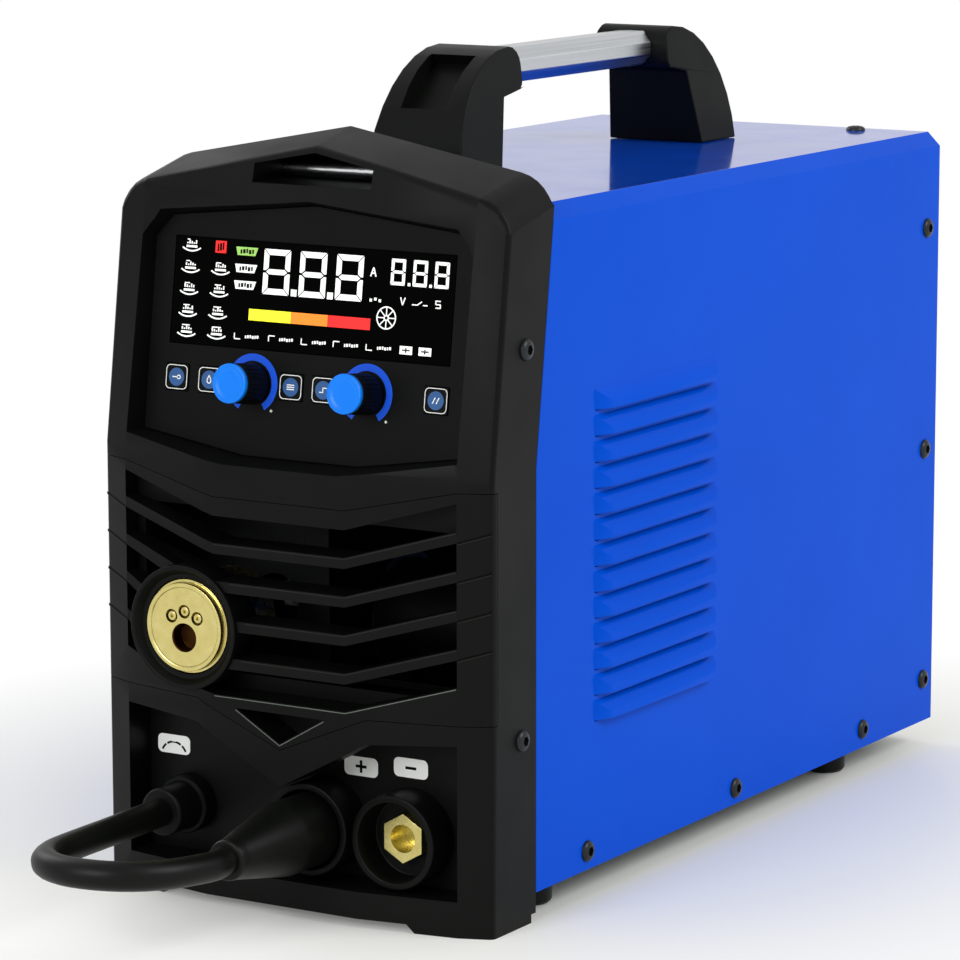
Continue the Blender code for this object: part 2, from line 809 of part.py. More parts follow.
def build_bezel(blank, frame):
    bezel = add_object("front_bezel", blank.data.copy())
    far = NOSE_Y - OVERSHOOT
    deep = POCKET_Y + FLOOR_WALL
    cut(bezel, front_plate("cut_grille", grille_outline(0), far, GRILLE_SEAT_Y))
    vent_half = INNER - GRILLE_WRAP
    vent_low = (-vent_half, GRILLE_SEAT_Y - GRILLE_WRAP, GRILLE_BOTTOM + GRILLE_FRAME)
    vent_high = (vent_half, deep, GRILLE_TOP - GRILLE_DROP - GRILLE_FRAME)
    cut(bezel, box("cut_vent", vent_low, vent_high))
    cut(bezel, front_plate("cut_recess", recess_outline(), far, RECESS_Y))
    depth = PANEL_SHEET + GAP
    rings = []
    for y, margin in ((depth, GAP), (0, GAP), (-OVERSHOOT, GAP + PANEL_FLARE * OVERSHOOT)):
        rings.append([(u, y, v) for u, v in panel_outline(margin)])
    cut(bezel, loft("cut_panel", rings, parent=frame))
    ledge = PANEL_HALF - PANEL_LEDGE
    window_low = (-ledge, 0, PANEL_FOOT_RISE + PANEL_LEDGE)
    window_high = (ledge, OVERSHOOT, PANEL_CORNER - PANEL_LEDGE)
    cut(bezel, box("cut_window", window_low, window_high, frame))
    cut(bezel, front_plate("cut_slot", slot_outline(), far, slot_back_y()))
    bar = SLOT_WIDTH / 2 + SLOT_BAR_SOCKET
    bar_place = at(0, slot_bar_y(), slot_bar_z()) @ RIGHT_AXIS
    cut(bezel, rod("cut_bar", SLOT_BAR_RADIUS + GAP, -bar, bar, 16, bar_place))
    wall = HALF - BEZEL_WALL
    pocket = [pocket_ring(BEZEL_FOOT + BEZEL_WALL, wall), pocket_ring(LEAN_START, wall),
              pocket_ring(POCKET_SHOULDER, wall), pocket_ring(CASE_TOP - BEND, wall - ROOF_CORNER)]
    cut(bezel, loft("cut_pocket", pocket))
    inner_foot = HALF - BEZEL_FOOT_LENGTH
    arch = [(inner_foot + BEZEL_FOOT, -BEZEL_FOOT), (inner_foot - BEZEL_FOOT, BEZEL_FOOT)]
    cut(bezel, front_plate("cut_arch", mirrored(arch), far, SEAM_Y + OVERSHOOT))
    low = (-CASE_WIDTH, SEAM_Y - BEZEL_FOOT, -BEZEL_FOOT)
    cut(bezel, box("cut_heel", low, (CASE_WIDTH, SEAM_Y + OVERSHOOT, BEZEL_FOOT)))
    fittings = [("minus", SOCKET_MINUS_X, SOCKET_SHANK), ("plus", SOCKET_PLUS_X, SOCKET_SHANK),
                ("gland", GLAND_X, GLAND_SHANK)]
    for name, x, radius in fittings:
        cut(bezel, hole(f"cut_{name}", radius + GAP, x, SOCKET_Z, RECESS_Y - FLOOR_WALL, deep))
    return finish(bezel, BLACK_MOULDING)


def slot_bar_y():
    return slot_back_y() - GAP - SLOT_BAR_RADIUS


def slot_bar_z():
    return SLOT_FLOOR + SLOT_BAR_RADIUS + GAP


def build_grip_bar():
    half = SLOT_WIDTH / 2 + SLOT_BAR_SOCKET - GAP
    bar = rod("grip_bar", SLOT_BAR_RADIUS, -half, half, 16, at(0, slot_bar_y(), slot_bar_z()) @ RIGHT_AXIS)
    return finish(bar, ALUMINIUM)


def gap_top(index):
    return GRILLE_TOP - GRILLE_FRAME - index * (GRILLE_GAP + GRILLE_SLAT)


def build_grille(blank):
    grille = add_object("front_grille", blank.data.copy())
    far = NOSE_Y - OVERSHOOT
    seat = GRILLE_SEAT_Y - GAP
    combine(grille, front_plate("keep_grille", grille_outline(GAP), far, seat), "INTERSECT")
    behind = GRILLE_SEAT_Y + OVERSHOOT
    for i in range(GRILLE_GAPS):
        cut(grille, front_plate(f"cut_gap_{i}", grille_band(gap_top(i), GRILLE_GAP), far, behind))
    tip = GRILLE_BOTTOM - GRILLE_TIP_DROP + CUTOUT_MARGIN
    chevron = [(0, tip), (CUTOUT_HALF, tip + CUTOUT_HEIGHT), (-CUTOUT_HALF, tip + CUTOUT_HEIGHT)]
    cut(grille, front_plate("cut_chevron", chevron, far, behind))
    seat_y = collar_front() + COLLAR_PROUD + COLLAR_SEAT
    cut(grille, hole("cut_collar", COLLAR_RADIUS + GAP, EURO_X, EURO_Z, far, seat_y, 32))
    cut(grille, hole("cut_neck", COLLAR_NECK + GAP, EURO_X, EURO_Z, far, behind, 32))
    return finish(grille, BLACK_MOULDING)


def collar_front():
    """The collar's rim stands just proud of the grille beside it."""
    run = (EURO_X + INNER) / (INNER - NOSE_HALF)
    return COLUMN_Y - NOSE_STEP * run - COLLAR_PROUD


def build_control_panel(frame):
    middle = at(0, PANEL_SHEET / 2, 0) @ FRONT_VIEW
    panel = plate("control_panel", [panel_outline(0)], PANEL_SHEET, middle, frame)
    deep = 2 * PANEL_SHEET
    glass_top = DISPLAY_BOTTOM + DISPLAY_HEIGHT
    low = (-DISPLAY_HALF, -deep, DISPLAY_BOTTOM)
    cut(panel, box("cut_display", low, (DISPLAY_HALF, DISPLAY_GLASS, glass_top), frame))
    for i, x in enumerate(key_places()):
        half_x = KEY_WIDTH / 2 + GAP
        half_z = KEY_HEIGHT / 2 + GAP
        low = (x - half_x, -deep, KEY_ROW - half_z)
        cut(panel, box(f"cut_key_{i}", low, (x + half_x, deep, KEY_ROW + half_z), frame))
    for x, side in ((KNOB_LEFT_X, "left"), (KNOB_RIGHT_X, "right")):
        spot = at(x, 0, KEY_ROW) @ BACKWARD_AXIS
        cut(panel, rod(f"cut_shaft_{side}", KNOB_SHAFT + RUNNING_GAP, -deep, deep, 16, spot, frame))
    finish(panel, BLACK_PANEL)
    low = (GAP - DISPLAY_HALF, 0, DISPLAY_BOTTOM + GAP)
    high = (DISPLAY_HALF - GAP, DISPLAY_GLASS - GAP, glass_top - GAP)
    finish(box("display_window", low, high, frame), BLACK_GLASS)


def key_places():
    outer = PANEL_HALF - KEY_EDGE_IN
    return [-outer, -outer + KEY_PITCH, KEY_MIDDLE_X, KEY_MIDDLE_X + KEY_MIDDLE_PITCH, outer]


def board_depth():
    """Depth of the control board behind the panel face, just behind the bezel's ledge."""
    return (POCKET_Y - PANEL_Y) * math.cos(LEAN) + GAP


def build_keys(frame):
    for i, x in enumerate(key_places()):
        key = box(f"button_{i + 1}", (-KEY_WIDTH / 2, -KEY_PROUD, -KEY_HEIGHT / 2),
                  (KEY_WIDTH / 2, PANEL_SHEET, KEY_HEIGHT / 2), frame)
        key.data.transform(key.matrix_local)
        place(key, at(x, 0, KEY_ROW), frame)
        stem_end = board_depth() - GAP - KEY_TRAVEL
        spot = at(x, 0, KEY_ROW) @ BACKWARD_AXIS
        fuse(key, rod(f"stem_{i + 1}", KEY_STEM, PANEL_SHEET - GAP, stem_end, 8, spot, frame))
        finish(key, BLACK_PANEL)


def build_knobs(frame):
    for x, side in ((KNOB_LEFT_X, "left"), (KNOB_RIGHT_X, "right")):
        spot = at(x, 0, KEY_ROW) @ FORWARD_AXIS
        shaft_end = -board_depth() + GAP
        radius = KNOB_RADIUS - KNOB_DRAFT
        profile = [(0, KNOB_LENGTH), (radius, KNOB_LENGTH), (KNOB_RADIUS, KNOB_CLEAR),
                   (KNOB_SHAFT, KNOB_CLEAR), (KNOB_SHAFT, shaft_end), (0, shaft_end)]
        knob = turned(f"knob_{side}", profile, 28, spot, frame, closed=False)
        finish(knob, BLACK_MOULDING)
        low = KNOB_LENGTH + GAP
        high = low + CAP_LENGTH
        profile = [(0, high), (radius - CAP_EDGE, high), (radius, high - CAP_EDGE), (radius, low), (0, low)]
        cap = turned(f"knob_cap_{side}", profile, 28, spot, frame, closed=False)
        finish(cap, BLUE_PLASTIC)


def build_control_board(frame):
    half = PANEL_HALF - PANEL_LEDGE / 2
    low = (-half, board_depth(), PANEL_FOOT_RISE + PANEL_LEDGE / 2)
    high = (half, board_depth() + BOARD_SHEET, PANEL_CORNER - PANEL_LEDGE / 2)
    finish(box("control_board", low, high, frame), GREEN_BOARD)


# Torch connector
def build_euro():
    front = collar_front()
    spot = at(EURO_X, front, EURO_Z) @ BACKWARD_AXIS
    seat = COLLAR_PROUD + COLLAR_SEAT - GAP
    tail = GRILLE_SEAT_Y - GAP - front
    bore = EURO_FLANGE + GAP
    inner = COLLAR_RADIUS - COLLAR_RIM
    profile = [(inner, 0), (COLLAR_RADIUS, 0), (COLLAR_RADIUS, seat), (COLLAR_NECK, seat),
               (COLLAR_NECK, tail), (bore, tail), (bore, COLLAR_DISH)]
    finish(turned("euro_collar", profile, 32, spot), BLACK_MOULDING)
    face = -EURO_PROUD
    step = COLLAR_DISH - GAP
    rear = SEAM_Y + FEED_FRONT - GAP - front
    profile = [(0, face), (EURO_FACE, face), (EURO_FACE, step), (EURO_FLANGE, step), (EURO_FLANGE, tail),
               (EURO_BODY, tail), (EURO_BODY, rear), (0, rear)]
    brass = turned("euro_connector", profile, 32, spot, closed=False)
    deep = front + EURO_HOLE_DEPTH
    hole_z = EURO_Z - EURO_HOLE_DROP
    cut(brass, hole("cut_torch", EURO_HOLE, EURO_X, hole_z, front - EURO_HOLE_DEPTH, deep, 20))
    for i in range(3):
        turn = (i - 1) * EURO_PIN_SPREAD
        x = EURO_X + EURO_PIN_RING * math.sin(turn)
        z = EURO_Z + EURO_PIN_RING * math.cos(turn) - EURO_PIN_DROP
        cut(brass, hole(f"cut_pin_{i}", EURO_PIN_HOLE, x, z, front - EURO_HOLE_DEPTH, deep, 12))
    finish(brass, BRASS)


# Panel sockets, gland and plug
def build_socket(name, x):
    spot = at(x, RECESS_Y, SOCKET_Z) @ FORWARD_AXIS
    rim = SOCKET_RADIUS - SOCKET_RIM
    dish = SOCKET_LENGTH - SOCKET_DISH
    bore = INSERT_SHANK + GAP
    profile = [(rim, SOCKET_LENGTH), (SOCKET_RADIUS, SOCKET_LENGTH), (SOCKET_RADIUS, GAP),
               (SOCKET_SHANK, GAP), (SOCKET_SHANK, -SOCKET_TAIL), (bore, -SOCKET_TAIL), (bore, dish),
               (rim, dish)]
    finish(turned(f"socket_{name}", profile, 24, spot), BLACK_MOULDING)
    seat = dish + GAP
    tip = seat + INSERT_HEAD
    middle = at(x, RECESS_Y - seat - INSERT_HEAD / 2, SOCKET_Z) @ FRONT_VIEW
    insert = plate(f"brass_{name}", [hexagon(INSERT_FLATS)], INSERT_HEAD, middle)
    tail = -SOCKET_TAIL - SOCKET_RIM
    fuse(insert, rod(f"shank_{name}", INSERT_SHANK, tail, tip - INSERT_HEAD / 2, 24, spot))
    cut(insert, rod(f"cut_bore_{name}", INSERT_BORE, tip - INSERT_BORE_DEPTH, tip + INSERT_HEAD, 20, spot))
    finish(insert, BRASS)
    return tip


def build_plug(tip):
    spot = at(SOCKET_PLUS_X, RECESS_Y, SOCKET_Z) @ FORWARD_AXIS
    start = tip + GAP
    end = start + PLUG_LENGTH
    pin_end = tip - PLUG_PIN_LENGTH
    profile = [(0, end), (PLUG_TAIL, end), (PLUG_COLLAR, end - PLUG_COLLAR_LENGTH),
               (PLUG_NOSE, start + PLUG_BARREL), (PLUG_NOSE, start), (PLUG_PIN, start),
               (PLUG_PIN, pin_end), (0, pin_end)]
    finish(turned("polarity_plug", profile, 28, spot, closed=False), BLACK_RUBBER)
    return RECESS_Y - end


def build_gland():
    spot = at(GLAND_X, RECESS_Y, SOCKET_Z) @ FORWARD_AXIS
    nut = GLAND_NUT_LENGTH
    edge = GLAND_CAP - GLAND_EDGE
    crown = [(edge + u, GLAND_LENGTH - GLAND_EDGE + v) for u, v in arc((0, 0), GLAND_EDGE, 90, 0, 3)]
    body = [(GLAND_CAP, nut), (GLAND_NUT, nut), (GLAND_NUT, GAP), (GLAND_SHANK, GAP),
            (GLAND_SHANK, -SOCKET_TAIL), (0, -SOCKET_TAIL)]
    profile = [(0, GLAND_LENGTH)] + crown + body
    finish(turned("cable_gland", profile, 24, spot, closed=False), BLACK_MOULDING)
    return RECESS_Y - GLAND_LENGTH


def smooth_route(knots, steps):
    """Points on a smooth curve through the knots, with straight run-outs at both ends."""
    points = [Vector(k) for k in knots]
    ends = [2 * points[0] - points[1]] + points + [2 * points[-1] - points[-2]]
    route = []
    for i in range(1, len(ends) - 2):
        a, b, c, d = ends[i - 1:i + 3]
        for step in range(steps):
            t = step / steps
            route.append(0.5 * (2 * b + (c - a) * t + (2 * a - 5 * b + 4 * c - d) * t * t
                                + (3 * b - a - 3 * c + d) * t ** 3))
    route.append(points[-1])
    return route


def build_cable(gland_y, plug_y):
    """The polarity cable: out of the gland, a half turn in front of the machine, back into the plug."""
    z = SOCKET_Z
    start = (GLAND_X, gland_y - GAP, z)
    end = (SOCKET_PLUS_X, plug_y - GAP, z)
    span = SOCKET_PLUS_X - GLAND_X
    knots = [start, (GLAND_X, start[1] - CABLE_LEAD, z), (GLAND_X, start[1] - 2 * CABLE_LEAD, z)]
    knots += [(GLAND_X + share * span, start[1] - reach, z + rise) for share, reach, rise in CABLE_BOW]
    knots += [(SOCKET_PLUS_X, end[1] - 2 * CABLE_LEAD, z), (SOCKET_PLUS_X, end[1] - CABLE_LEAD, z), end]
    curve = bpy.data.curves.new("polarity_cable", "CURVE")
    curve.dimensions = "3D"
    curve.bevel_depth = CABLE_RADIUS
    curve.bevel_resolution = 2
    curve.use_fill_caps = True
    route = smooth_route(knots, 3)
    spline = curve.splines.new("POLY")
    spline.points.add(len(route) - 1)
    for point, co in zip(spline.points, route):
        point.co = (*co, 1)
    finish(settle(add_object("polarity_cable", curve)), BLACK_RUBBER)


# Steel case
def cover_row(y_of):
    """Front or rear edge of the bent cover: right side, top, then a strip down the left side."""
    profile = [(HALF, CASE_BOTTOM), (HALF, LEAN_START), (HALF, CASE_TOP - BEND), (HALF - BEND, CASE_TOP),
               (BEND - HALF, CASE_TOP), (-HALF, CASE_TOP - BEND), (-HALF, DOOR_TOP + GAP)]
    return [(x, y_of(z), z) for x, z in profile]


def case_front(z):
    return SEAM_Y + lean_shift(z) + GAP


def louvre(bm, lip, low_x, shrink):
    """One pressed hood: flush at its top and ends, open along its lower lip."""
    start = SEAM_Y + LOUVRE_START + shrink
    end = start + LOUVRE_LENGTH - 2 * shrink
    bulge = LOUVRE_BULGE - shrink
    high = lip + LOUVRE_HEIGHT - shrink
    low = lip - shrink / 2
    points = []
    for share, height in LOUVRE_SECTION:
        x = HALF + bulge * share
        z = low + (high - low) * height
        points += [(x, start + LOUVRE_RAMP_FRONT * share ** 2, z), (x, end - LOUVRE_RAMP * share ** 2, z)]
    points += [(low_x, start, low), (low_x, end, low), (low_x, start, high), (low_x, end, high)]
    points += [(HALF, start, low), (HALF, end, low)]
    verts = [bm.verts.new(p) for p in points]
    hull = bmesh.ops.convex_hull(bm, input=verts)
    loose = [v for v in hull["geom_interior"] if isinstance(v, bmesh.types.BMVert)]
    bmesh.ops.delete(bm, geom=loose, context="VERTS")


def louvres(name, low_x, shrink):
    bm = bmesh.new()
    for i in range(LOUVRE_COUNT):
        louvre(bm, CASE_BOTTOM + LOUVRE_LIFT + i * LOUVRE_PITCH, low_x, shrink)
    return mesh_from(name, bm)


def build_cover():
    rows = [cover_row(lambda z: REAR_Y), cover_row(case_front)]
    cover = sheet_run("case_cover", rows, SHEET)
    fuse(cover, louvres("hoods", HALF - SHEET / 2, 0))
    cut(cover, louvres("cut_hoods", HALF - 2 * SHEET, LOUVRE_SKIN))
    return finish(cover, BLUE_PAINT)


def build_tray():
    def row(y):
        return [(-TRAY_HALF, y, CASE_BOTTOM + TRAY_FLANGE), (-TRAY_HALF, y, CASE_BOTTOM),
                (TRAY_HALF, y, CASE_BOTTOM), (TRAY_HALF, y, CASE_BOTTOM + TRAY_FLANGE)]

    finish(sheet_run("base_tray", [row(REAR_INNER_Y), row(SEAM_Y + GAP)], SHEET), GALVANISED)


def build_feet():
    places = [("front_left", -1, FOOT_FRONT), ("front_right", 1, FOOT_FRONT),
              ("rear_left", -1, CASE_DEPTH - FOOT_REAR), ("rear_right", 1, CASE_DEPTH - FOOT_REAR)]
    top = CASE_BOTTOM - GAP
    radius = FOOT_RADIUS - FOOT_DRAFT
    profile = [(0, top), (FOOT_RADIUS, top), (radius, FOOT_EDGE), (radius - FOOT_EDGE, 0), (0, 0)]
    for name, side, y in places:
        spot = at(side * (HALF - FOOT_IN), SEAM_Y + y, 0)
        finish(turned(f"rubber_foot_{name}", profile, 20, spot, closed=False), BLACK_RUBBER)


# Front frame and divider
def build_front_frame():
    half = FRAME_HALF
    back = SEAM_Y + FRAME_SET
    levels = [TRAY_TOP + GAP, LEAN_START, POCKET_SHOULDER - GAP]

    def row(z):
        front = SEAM_Y - FRAME_FORWARD + lean_shift(z)
        return [(-half, front, z), (-half, back, z), (half, back, z), (half, front, z)]

    frame = sheet_run("front_frame", [row(z) for z in levels], FRAME_SHEET)
    near = back - 2 * FRAME_SHEET
    far = back + 2 * FRAME_SHEET
    cut(frame, hole("cut_frame_euro", EURO_BODY + RUNNING_GAP, EURO_X, EURO_Z, near, far))
    side = half - FRAME_RIM
    low = (DIVIDER_X + SHEET, near, GRILLE_BOTTOM)
    cut(frame, box("cut_frame_vent", low, (side, far, GRILLE_TOP - GRILLE_DROP)))
    low = (-side, near, TRAY_TOP + FRAME_LEAD_RIM)
    cut(frame, box("cut_frame_leads", low, (side, far, RECESS_TOP - FRAME_LEAD_RIM)))
    through = 2 * FRAME_SHEET
    for z, name in latch_places():
        spot = at(-half, SEAM_Y + LATCH_SET, z) @ LEFT_AXIS
        cut(frame, rod(f"cut_frame_{name}", LATCH_STUD + 2 * RUNNING_GAP, -through, through, 16, spot))
    finish(frame, BLACK_PANEL)


def build_divider():
    top = CASE_TOP - DIVIDER_TOP_DROP
    floor = TRAY_TOP + GAP

    def row(y):
        foot_z = floor + SHEET
        return [(DIVIDER_X, y, top), (DIVIDER_X, y, foot_z), (DIVIDER_X + DIVIDER_FOOT, y, foot_z)]

    front = SEAM_Y + FRAME_SET + FRAME_SHEET + GAP
    divider = sheet_run("divider_panel", [row(front), row(REAR_INNER_Y - GAP)], SHEET)
    spot = at(DIVIDER_X, ROLL_Y, ROLL_Z) @ RIGHT_AXIS
    cut(divider, rod("cut_divider_shaft", SHAFT_RADIUS + RUNNING_GAP, -3 * SHEET, 3 * SHEET, 16, spot))
    finish(divider, GALVANISED)


# Wire door
def latch_places():
    return [(CASE_BOTTOM + LATCH_LOW, "latch_lower"), (CASE_BOTTOM + LATCH_HIGH, "latch_upper")]


def hinge_spans():
    """Five equal knuckles: three stay with the case, two turn with the door."""
    pitch = HINGE_LENGTH / 5
    base = CASE_BOTTOM + HINGE_LIFT
    spans = [(base + i * pitch + GAP / 2, base + (i + 1) * pitch - GAP / 2) for i in range(5)]
    return spans[0::2], spans[1::2]


def knuckle(name, low, high, side):
    """A barrel with a short arm to its leaf."""
    barrel = rod(f"{name}_barrel", HINGE_KNUCKLE, low, high, 16, at(HINGE_X, HINGE_Y, 0))
    leaf_x = HINGE_X + HINGE_KNUCKLE - HINGE_LEAF
    arm_low = (leaf_x, HINGE_Y - (HINGE_ARM if side < 0 else 0), low)
    arm_high = (leaf_x + HINGE_LEAF, HINGE_Y + (HINGE_ARM if side > 0 else 0), high)
    return barrel, box(f"{name}_arm", arm_low, arm_high)


def build_door():
    moving = hinge_spans()[1]

    def row(y_of):
        return [(-HALF + DOOR_LIP, y_of(DOOR_TOP), DOOR_TOP), (-HALF, y_of(DOOR_TOP), DOOR_TOP),
                (-HALF, y_of(LEAN_START), LEAN_START), (-HALF, y_of(CASE_BOTTOM), CASE_BOTTOM)]

    door = sheet_run("side_door", [row(lambda z: HINGE_Y - GAP), row(case_front)], SHEET)
    leaf_x = HINGE_X + HINGE_KNUCKLE - HINGE_LEAF
    leaf_low = (leaf_x, HINGE_Y - HINGE_LEAF_WIDTH, moving[0][0])
    leaf_high = (-HALF + SHEET / 2, HINGE_Y - HINGE_LEAF_SET, moving[-1][1])
    fuse(door, box("door_leaf", leaf_low, leaf_high))
    for i, (low, high) in enumerate(moving):
        fuse(door, *knuckle(f"door_knuckle_{i}", low, high, -1))
        spot = at(HINGE_X, HINGE_Y, 0)
        cut(door, rod(f"cut_pin_bore_{i}", HINGE_PIN + GAP, low - GAP, high + GAP, 12, spot))
    for z, name in latch_places():
        spot = at(-HALF, SEAM_Y + LATCH_SET, z) @ LEFT_AXIS
        cut(door, rod(f"cut_door_{name}", LATCH_STUD + RUNNING_GAP, -2 * SHEET, 2 * SHEET, 16, spot))
    finish(door, BLUE_PAINT)


def build_hinge():
    fixed = hinge_spans()[0]
    leaf_x = HINGE_X + HINGE_KNUCKLE - HINGE_LEAF
    leaf_low = (leaf_x, HINGE_Y + HINGE_LEAF_SET, fixed[0][0])
    leaf_high = (leaf_x + HINGE_LEAF, HINGE_Y + HINGE_LEAF_WIDTH, fixed[-1][1])
    hinge = box("door_hinge", leaf_low, leaf_high)
    for i, (low, high) in enumerate(fixed):
        fuse(hinge, *knuckle(f"case_knuckle_{i}", low, high, 1))
    spot = at(HINGE_X, HINGE_Y, 0)
    fuse(hinge, rod("hinge_pin", HINGE_PIN, fixed[0][0] + GAP, fixed[-1][1] - GAP, 12, spot))
    finish(hinge, BLACK_MOULDING)


def build_latches():
    for z, name in latch_places():
        spot = at(-HALF, SEAM_Y + LATCH_SET, z) @ LEFT_AXIS
        stud_end = FRAME_HALF - HALF - FRAME_SHEET
        disc = GAP + LATCH_DISC
        profile = [(0, disc), (LATCH_HEAD - LATCH_EDGE, disc), (LATCH_HEAD, disc - LATCH_EDGE),
                   (LATCH_HEAD, GAP), (LATCH_STUD, GAP), (LATCH_STUD, stud_end), (0, stud_end)]
        latch = turned(name, profile, 24, spot, closed=False)
        wing = box(f"{name}_wing", (-LATCH_WING_HALF, -LATCH_WING_SHEET / 2, disc - LATCH_EDGE),
                   (LATCH_WING_HALF, LATCH_WING_SHEET / 2, disc + LATCH_WING))
        wing.data.transform(wing.matrix_local)
        place(wing, spot)
        fuse(latch, wing)
        finish(latch, BLACK_MOULDING)


# Rear panel and its fittings
def build_rear_panel():
    strip = DOOR_TOP - GAP
    top = CASE_TOP - SHEET - GAP
    outline = [(-HALF, CASE_BOTTOM), (TRAY_HALF, CASE_BOTTOM), (TRAY_HALF, top - BEND),
               (TRAY_HALF - BEND, top), (BEND - TRAY_HALF, top), (-TRAY_HALF, top - BEND),
               (-TRAY_HALF, strip), (-HALF, strip)]
    panel = front_plate("rear_panel", outline, REAR_Y - SHEET, REAR_Y)
    strip_low = (-HALF, HINGE_Y + GAP, CASE_BOTTOM)
    fuse(panel, box("hinge_strip", strip_low, (-HALF + SHEET, REAR_Y - SHEET / 2, strip)))
    near = REAR_Y - 2 * SHEET
    far = REAR_Y + 2 * SHEET
    bore = FAN_SIZE / 2 - FAN_WALL
    cut(panel, hole("cut_fan", bore, FAN_X, FAN_Z, near, far, 32))
    cut(panel, hole("cut_mains", MAINS_SHANK + GAP, FITTINGS_X, MAINS_Z, near, far))
    cut(panel, hole("cut_gas", GAS_BARB + RUNNING_GAP, FITTINGS_X, GAS_Z, near, far))
    half_x = SWITCH_WIDTH / 2 - SWITCH_WALL / 2 + GAP
    half_z = SWITCH_HEIGHT / 2 - SWITCH_WALL / 2 + GAP
    low = (FITTINGS_X - half_x, near, SWITCH_Z - half_z)
    cut(panel, box("cut_switch", low, (FITTINGS_X + half_x, far, SWITCH_Z + half_z)))
    finish(panel, BLACK_MOULDING)


def build_fan():
    inner = REAR_INNER_Y - FAN_DEPTH
    half = FAN_SIZE / 2
    bore = half - FAN_WALL
    low = (FAN_X - half, inner, FAN_Z - half)
    frame = box("fan_frame", low, (FAN_X + half, REAR_INNER_Y, FAN_Z + half))
    cut(frame, hole("cut_fan_bore", bore, FAN_X, FAN_Z, inner - OVERSHOOT, REAR_Y, 32))
    axle = at(FAN_X, inner, FAN_Z) @ BACKWARD_AXIS
    reach = bore + FAN_WALL / 2
    for i, turn in enumerate((45, 135)):
        strut_low = (-reach, -FAN_STRUT_WIDTH / 2, GAP)
        strut = box(f"fan_strut_{i}", strut_low, (reach, FAN_STRUT_WIDTH / 2, FAN_STRUT - GAP))
        strut.data.transform(strut.matrix_local)
        place(strut, axle @ Matrix.Rotation(math.radians(turn), 4, "Z"))
        fuse(frame, strut)
    fuse(frame, rod("fan_boss", FAN_HUB, 0, FAN_STRUT, 20, axle))
    fuse(frame, rod("fan_axle", SHAFT_RADIUS, FAN_STRUT / 2, FAN_DEPTH - FAN_STRUT, 16, axle))
    finish(frame, GREY_PLASTIC)
    low = FAN_STRUT + 2 * RUNNING_GAP
    high = FAN_DEPTH - FAN_STRUT / 2
    axle_bore = SHAFT_RADIUS + RUNNING_GAP
    axle_end = FAN_DEPTH - FAN_STRUT + RUNNING_GAP
    profile = [(0, high), (FAN_HUB, high), (FAN_HUB, low), (axle_bore, low), (axle_bore, axle_end),
               (0, axle_end)]
    rotor = turned("fan_rotor", profile, 20, axle, closed=False)
    length = bore - FAN_TIP_GAP - FAN_HUB
    for i in range(FAN_BLADES):
        blade_low = (-BLADE_CHORD / 2, -BLADE_SHEET, -BLADE_SHEET / 2)
        blade = box(f"blade_{i}", blade_low, (BLADE_CHORD / 2, length, BLADE_SHEET / 2))
        blade.data.transform(blade.matrix_local)
        turn = Matrix.Rotation(2 * math.pi * i / FAN_BLADES, 4, "Z")
        middle = at(0, FAN_HUB, (low + high) / 2) @ Matrix.Rotation(BLADE_PITCH, 4, "Y")
        place(blade, axle @ turn @ middle)
        fuse(rotor, blade)
    finish(rotor, BLACK_MOULDING)
    return bore


def build_guard(bore):
    """Concentric rings on a cross of bars, held by a rim on the panel."""
    spot = at(FAN_X, REAR_Y + GAP, FAN_Z) @ BACKWARD_AXIS
    rim = bore + GUARD_BAR
    profile = [(rim, GUARD_PROUD), (rim + GUARD_BAR, GUARD_PROUD), (rim + GUARD_BAR, 0), (rim - GUARD_BAR, 0),
               (rim - GUARD_BAR, GUARD_PROUD)]
    guard = turned("fan_guard", profile, 32, spot)
    step = (rim - FAN_HUB) / GUARD_RINGS
    low = GUARD_PROUD - GUARD_BAR
    for i in range(1, GUARD_RINGS):
        radius = FAN_HUB + i * step
        ring = [(radius + GUARD_BAR / 2, GUARD_PROUD), (radius + GUARD_BAR / 2, low),
                (radius - GUARD_BAR / 2, low), (radius - GUARD_BAR / 2, GUARD_PROUD)]
        fuse(guard, turned(f"guard_ring_{i}", ring, 24, spot))
    fuse(guard, rod("guard_disc", FAN_HUB, low, GUARD_PROUD, 20, spot))
    for i, turn in enumerate((45, 135)):
        bar_low = (-rim, -GUARD_BAR / 2, low - GUARD_BAR / 4)
        bar = box(f"guard_bar_{i}", bar_low, (rim, GUARD_BAR / 2, GUARD_PROUD - GUARD_BAR / 4))
        bar.data.transform(bar.matrix_local)
        place(bar, spot @ Matrix.Rotation(math.radians(turn), 4, "Z"))
        fuse(guard, bar)
    finish(guard, BLACK_MOULDING)


